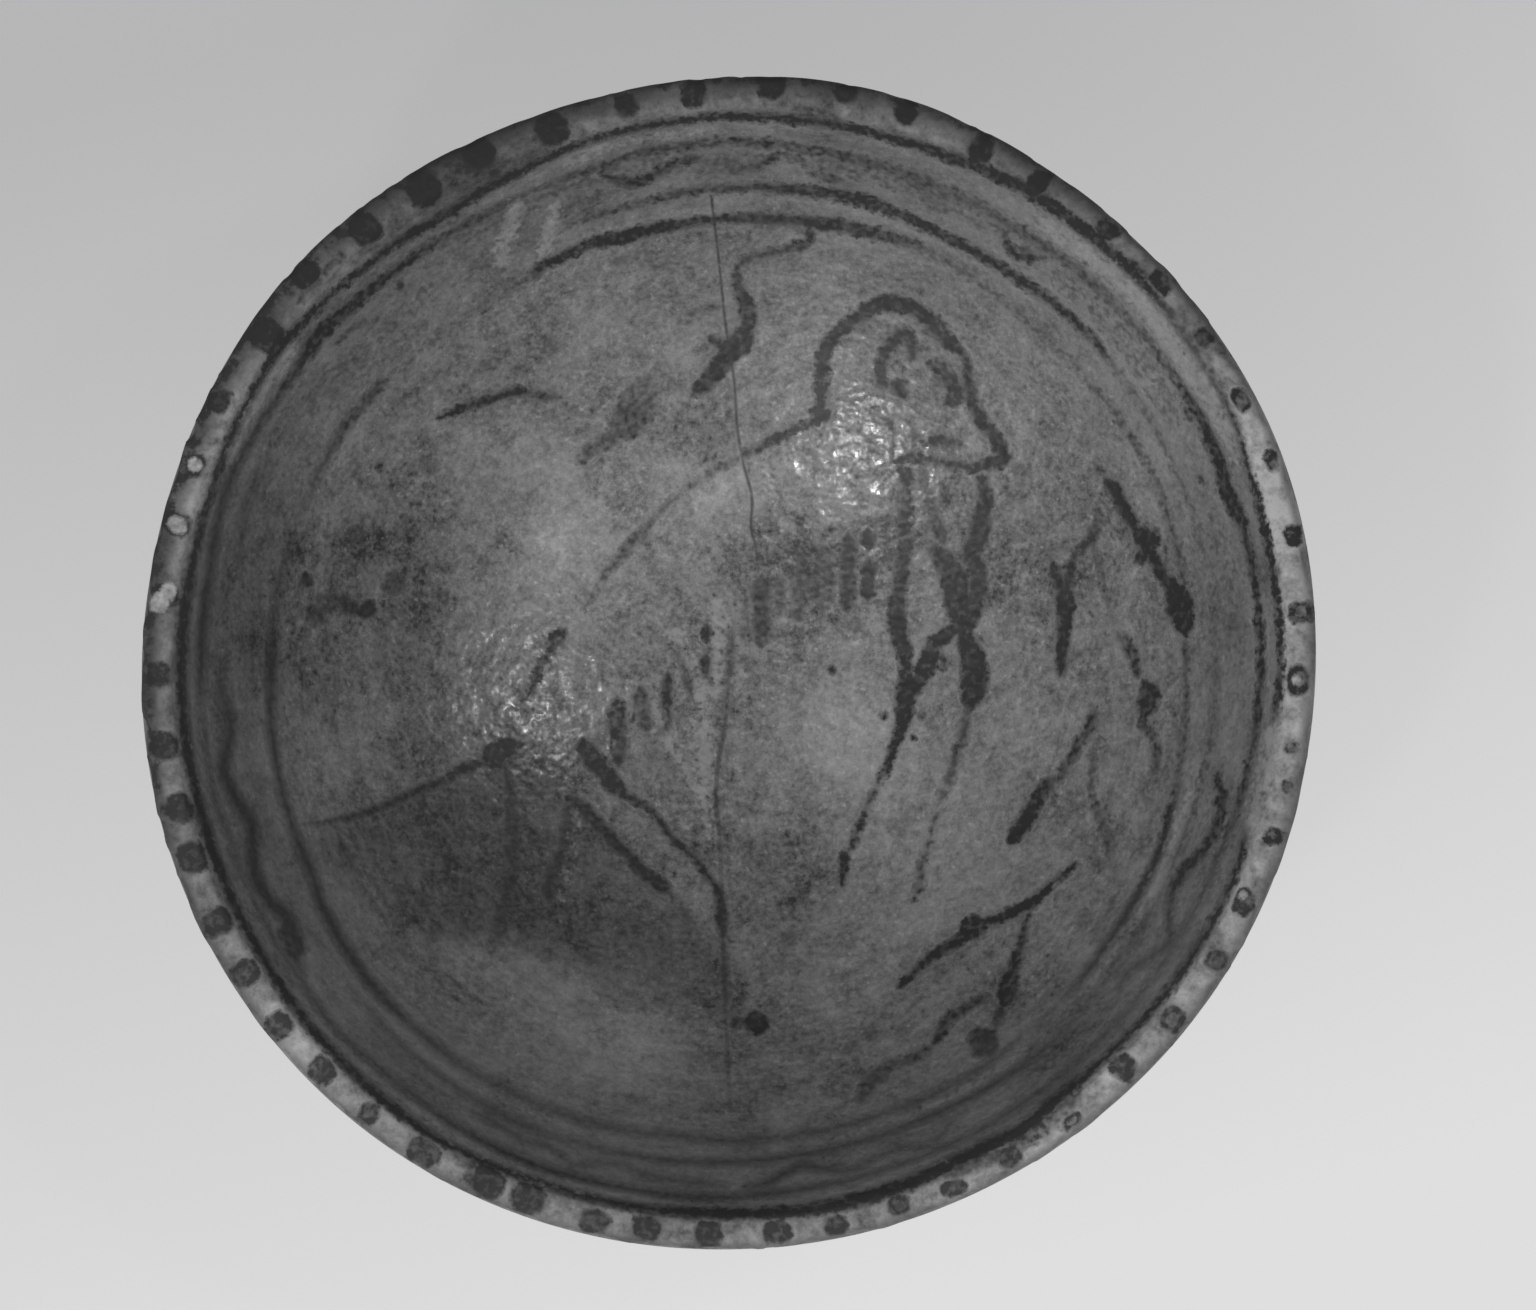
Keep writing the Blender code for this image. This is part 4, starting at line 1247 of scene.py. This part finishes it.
def paintedGlaze(groups, layerCounts):
    look = paintedGlazeLook
    material, tree, shader = newMaterial("painted_glaze")
    place = node(tree, "ShaderNodeTexCoord").outputs["Object"]
    fine = mottleAt(tree, groups, place, look["fineMottle"])
    broad = mottleAt(tree, groups, place, look["broadMottle"])
    speck = remap(tree, noiseAt(tree, place, look["specks"], 1.0, 0.45), 0.3, 0.7, -1.0, 1.0)
    soaked = amountAt(tree, "soaked")

    def strokeMask(name, ragged, softness, patchy):
        inputs = {"Layer": strokesAt(tree, name), "Ragged": ragged, "Softness": softness, "Patchy": patchy}
        return useGroup(tree, groups["brush"], inputs)["Mask"]

    def darker(first, second):
        return second if first is None else calc(tree, "MAXIMUM", first, second)

    # the plain glaze, with the wide tones: painted highlights, painted shade and the glaze's own uneven tone
    grain = weighed(tree, (fine["Grain"], look["fineGrain"]), (broad["Grain"], look["coarseGrain"]),
                    (fine["Pale Specks"], look["paleSpecks"]), (fine["Dark Specks"], look["darkSpecks"]))
    grain = calc(tree, "MULTIPLY", grain, calc(tree, "MULTIPLY_ADD", fine["Cloud"], -look["clumping"], 1.0))
    clouds = weighed(tree, (fine["Cloud"], look["clouds"]), (broad["Cloud"], look["broadClouds"]))
    streaks = calc(tree, "MULTIPLY", streaksAt(tree, groups, place, look["streakSize"]), look["streaks"])
    shade = weighed(tree, (amountAt(tree, "tone"), look["tones"]), (amountAt(tree, "grainy"), grain),
                    (amountAt(tree, "cloudy"), clouds), (amountAt(tree, "streaky"), streaks))
    shade = calc(tree, "MULTIPLY_ADD", shade, look["contrast"], look["shade"], clamp=True)
    colour = blend(tree, shade, grey(look["darkGlaze"]), grey(look["lightGlaze"]))

    # the lip, pale where the body shows and darker toward its outer edge, partly dirt and partly painted
    # shade on its outer round
    paleness = amountAt(tree, "lipPale")
    uneven = weighed(tree, *zip((fine["Cloud"], broad["Grain"], fine["Grain"]), look["lipUneven"]))
    lipShade = calc(tree, "MULTIPLY_ADD", uneven, calc(tree, "MULTIPLY_ADD", paleness, 1.1, 0.25), paleness)
    # painted shade and dirt toward the lip's outer edge
    stained = calc(tree, "MULTIPLY_ADD", broad["Grain"], 0.6, 1.0)
    stained = calc(tree, "MULTIPLY", amountAt(tree, "stained"), stained, clamp=True)
    lipShade = calc(tree, "MULTIPLY", lipShade, calc(tree, "SUBTRACT", 1.0, stained), clamp=True)
    lipColour = blend(tree, lipShade, grey(look["darkGlaze"]), grey(look["lipBody"]))
    colour = blend(tree, amountAt(tree, "pale"), colour, lipColour)

    # brush strokes, then the dots and drops
    ragged = weighed(tree, *zip((fine["Grain"], broad["Grain"], fine["Cloud"]), look["strokeRagged"]))
    patchy = weighed(tree, *zip((broad["Grain"], speck, fine["Grain"]), look["strokePatchy"]))
    calm = calc(tree, "MULTIPLY_ADD", soaked, -look["soakedCalm"], 1.0)
    ragged, patchy = calc(tree, "MULTIPLY", ragged, calm), calc(tree, "MULTIPLY", patchy, calm)
    softness = calc(tree, "MULTIPLY_ADD", soaked, look["soakedEdge"], look["brushEdge"])
    paint = None
    for number in range(layerCounts["brush"]):
        paint = darker(paint, strokeMask(f"brush{number}", ragged, softness, patchy))
    dotPatchy = weighed(tree, *zip((speck, broad["Grain"]), look["dotPatchy"]))
    dotRagged = weighed(tree, *zip((broad["Grain"], fine["Cloud"], fine["Grain"]), look["dotRagged"]))
    for name, edge in (("lipDots", "dotEdge"), ("dotRims", "dotEdge"), ("spots", "dropEdge")):
        paint = darker(paint, strokeMask(name, dotRagged, look[edge], dotPatchy))
    sunk = calc(tree, "MULTIPLY", paint, calc(tree, "MULTIPLY_ADD", soaked, -look["soakedPale"], 1.0))
    colour = blend(tree, sunk, colour, grey(look["paint"]))

    # pale marks and painted reflections, the crack and the flakes
    for number in range(layerCounts["pale"]):
        mask = strokeMask(f"pale{number}", ragged, look["paleEdge"], patchy)
        mask = calc(tree, "MULTIPLY", mask, look["paleMarksAndReflections"])
        colour = blend(tree, mask, colour, grey(look["paleStreakAndReflection"]))
    crack = None
    for number in range(layerCounts["crack"]):
        jagged = calc(tree, "MULTIPLY", ragged, 0.3)
        crack = darker(crack, strokeMask(f"crack{number}", jagged, look["crackEdge"], 0.0))
    colour = blend(tree, calc(tree, "MULTIPLY", crack, look["crackDark"]), colour, grey(look["crackShade"]))
    flaked = strokeMask("flakes", dotRagged, look["flakeEdge"], 0.0)
    flakeColour = blend(tree, remap(tree, dotPatchy, -0.45, 0.45), *map(grey, look["flakedBody"]))
    colour = blend(tree, flaked, colour, flakeColour)
    wire(tree, colour, shader.inputs["Base Color"])

    # glossy between the strokes, dull on paint, bare body and the lip's inner edge
    rough = remap(tree, broad["Grain"], -0.9, 0.7, *look["gloss"])
    for value, dullness in zip((amountAt(tree, "dull"), paint, flaked), look["dullness"]):
        rough = calc(tree, "MAXIMUM", rough, calc(tree, "MULTIPLY", value, dullness))
    wire(tree, rough, shader.inputs["Roughness"])
    shader.inputs["Specular IOR Level"].default_value = look["reflection"]
    addPits(tree, groups, shader, place, look["pits"], look["pucker"])
    return material


def outerGlaze(groups):
    look = outerGlazeLook
    material, tree, shader = newMaterial("outer_glaze")
    place = node(tree, "ShaderNodeTexCoord").outputs["Object"]
    fine = mottleAt(tree, groups, place, look["fineMottle"])
    broad = mottleAt(tree, groups, place, look["broadMottle"])
    streaks = streaksAt(tree, groups, place, look["streakSize"])
    height = node(tree, "ShaderNodeSeparateXYZ", {0: place}).outputs[2]
    edge = calc(tree, "MULTIPLY_ADD", broad["Cloud"], look["glazeRun"], height)
    roll = remap(tree, edge, look["glazeEdge"] + look["rollWidth"], look["glazeEdge"], smooth=True)
    shade = weighed(tree, (fine["Grain"], 0.16), (fine["Cloud"], 0.17), (broad["Cloud"], 0.24),
                    (broad["Grain"], 0.14), (streaks, 0.12), (fine["Pale Specks"], 0.25),
                    (fine["Dark Specks"], -0.18), (roll, look["rollDark"]))
    shade = calc(tree, "ADD", shade, look["shade"], clamp=True)
    colour = blend(tree, shade, grey(look["darkGlaze"]), grey(look["lightGlaze"]))

    # bare and worn below the glaze's edge and under the lip
    worn = calc(tree, "MULTIPLY_ADD", broad["Grain"], 0.0010, edge)
    wearFrom, wearTo = (bowlForm["height"] - below for below in look["lipWear"])
    nearLip = remap(tree, worn, wearFrom, wearTo, smooth=True)
    nearFoot = remap(tree, worn, look["glazeEdge"], look["glazeEdge"] - 0.0012, smooth=True)
    bare = calc(tree, "MAXIMUM", calc(tree, "MULTIPLY", nearLip, 0.75), nearFoot)
    bare = calc(tree, "MULTIPLY", bare, calc(tree, "MULTIPLY_ADD", fine["Grain"], 0.2, 0.9), clamp=True)
    colour = blend(tree, bare, colour, grey(look["wornBody"]))
    wire(tree, colour, shader.inputs["Base Color"])
    rough = remap(tree, broad["Grain"], -1.0, 1.0, *look["gloss"])
    wire(tree, calc(tree, "MAXIMUM", rough, calc(tree, "MULTIPLY", bare, 0.8)), shader.inputs["Roughness"])
    addPits(tree, groups, shader, place, look["pits"], look["pucker"])
    return material


def bareBody(groups):
    look = bareBodyLook
    material, tree, shader = newMaterial("bare_body")
    place = node(tree, "ShaderNodeTexCoord").outputs["Object"]
    mottle = mottleAt(tree, groups, place, look["mottle"])
    shade = weighed(tree, (mottle["Cloud"], 0.28), (mottle["Grain"], 0.2), (mottle["Dark Specks"], -0.4))
    shade = calc(tree, "ADD", shade, 0.6, clamp=True)
    wire(tree, blend(tree, shade, grey(look["stain"]), grey(look["body"])), shader.inputs["Base Color"])
    rough = remap(tree, mottle["Cloud"], -1.0, 1.0, look["roughness"], look["roughness"] - 0.12)
    wire(tree, rough, shader.inputs["Roughness"])
    addPits(tree, groups, shader, place, look["pits"], look["grain"])
    return material


# The stage: floor, lamps, sky and camera

stageLook = {  # a pale lit table, a little brighter toward the near right
    "floor": 0.08,
    "floorGlow": 0.541,
    "glowToRight": 0.33,  # change of glow in one metre
    "glowToFront": 1.10,
    "glowRange": (0.40, 0.66),
    "floorSize": 3.0,
    "skyLight": 0.25,
}
lamps = (  # toward the lamp from the bowl, distance and size in metres, watts
    {"name": "lamp_right", "toward": (0.572, 0.140, 0.809), "distance": 1.1, "size": 0.12, "power": 1.75},
    {"name": "lamp_low_left", "toward": (-0.381, -0.594, 0.730), "distance": 1.1, "size": 0.10, "power": 3.3},
    {"name": "soft_low_left", "toward": (-0.381, -0.594, 0.730), "distance": 1.1, "size": 1.20, "power": 5.3},
)


def floorPiece():
    half = stageLook["floorSize"] / 2
    under = -0.05 * mm  # so that the foot and the floor don't share one plane
    corners = [(-half, -half, under), (half, -half, under), (half, half, under), (-half, half, under)]
    mesh = bpy.data.meshes.new("floor")
    mesh.from_pydata(corners, [], [(0, 1, 2, 3)])
    floor = bpy.data.objects.new("floor", mesh)
    bpy.context.scene.collection.objects.link(floor)
    material, tree, shader = newMaterial("pale_floor")
    place = node(tree, "ShaderNodeTexCoord").outputs["Object"]
    parts = node(tree, "ShaderNodeSeparateXYZ", {0: place}).outputs
    glow = calc(tree, "MULTIPLY_ADD", parts[0], stageLook["glowToRight"], stageLook["floorGlow"])
    glow = calc(tree, "MULTIPLY_ADD", parts[1], -stageLook["glowToFront"], glow)
    low, high = stageLook["glowRange"]
    glow = calc(tree, "MINIMUM", calc(tree, "MAXIMUM", glow, low), high)
    wire(tree, blend(tree, glow, grey(0.0), grey(1.0)), shader.inputs["Emission Color"])
    shader.inputs["Emission Strength"].default_value = 1.0
    shader.inputs["Base Color"].default_value = grey(stageLook["floor"])
    shader.inputs["Roughness"].default_value = 0.9
    mesh.materials.append(material)


def stageLights():
    middle = Vector((0.0, 0.0, bowlForm["height"] / 2))
    for lamp in lamps:
        data = bpy.data.lights.new(lamp["name"], "AREA")
        data.shape = "DISK"
        data.size = lamp["size"]
        data.energy = lamp["power"]
        thing = bpy.data.objects.new(lamp["name"], data)
        way = Vector(lamp["toward"]).normalized()
        thing.location = middle + way * lamp["distance"]
        thing.rotation_mode = "QUATERNION"
        thing.rotation_quaternion = way.to_track_quat("Z", "Y")
        bpy.context.scene.collection.objects.link(thing)
    world = bpy.data.worlds.new("soft_sky")
    world.use_nodes = True
    world.node_tree.nodes["Background"].inputs["Color"].default_value = grey(1.0)
    world.node_tree.nodes["Background"].inputs["Strength"].default_value = stageLook["skyLight"]
    bpy.context.scene.world = world


def stageCamera():
    right, up, ahead = (Vector(axis) for axis in cameraAxes())
    data = bpy.data.cameras.new("photo_camera")
    width = photoCamera["imageSize"][0]
    data.sensor_width = photoCamera["sensor"]
    data.lens = photoCamera["sensor"] * photoCamera["distance"] / (width * photoCamera["pixel"])
    data.clip_start = 0.05
    thing = bpy.data.objects.new("photo_camera", data)
    turn = Matrix((right, up, -ahead)).transposed()
    thing.matrix_world = Matrix.Translation(Vector(cameraPlace())) @ turn.to_4x4()
    bpy.context.scene.collection.objects.link(thing)
    bpy.context.scene.camera = thing
    bpy.context.scene.view_settings.view_transform = "Standard"


piece, faceParts, layerCounts = bowlPiece()
groups = {"brush": brushGroup(), "mottle": mottleGroup(), "pits": pitGroup(), "streaks": streakGroup()}
materials = (paintedGlaze(groups, layerCounts), outerGlaze(groups), bareBody(groups))
for material in materials:
    piece.data.materials.append(material)
slotOf = {"inside": 0, "lip": 0, "outside": 1, "foot": 2}
piece.data.polygons.foreach_set("material_index", [slotOf[part] for part in faceParts])
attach(piece, "root")
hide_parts("bowl")
print("materials: painted glaze, outer glaze and bare body")

floorPiece()
stageLights()
stageCamera()
print("stage: floor, lamps and camera")
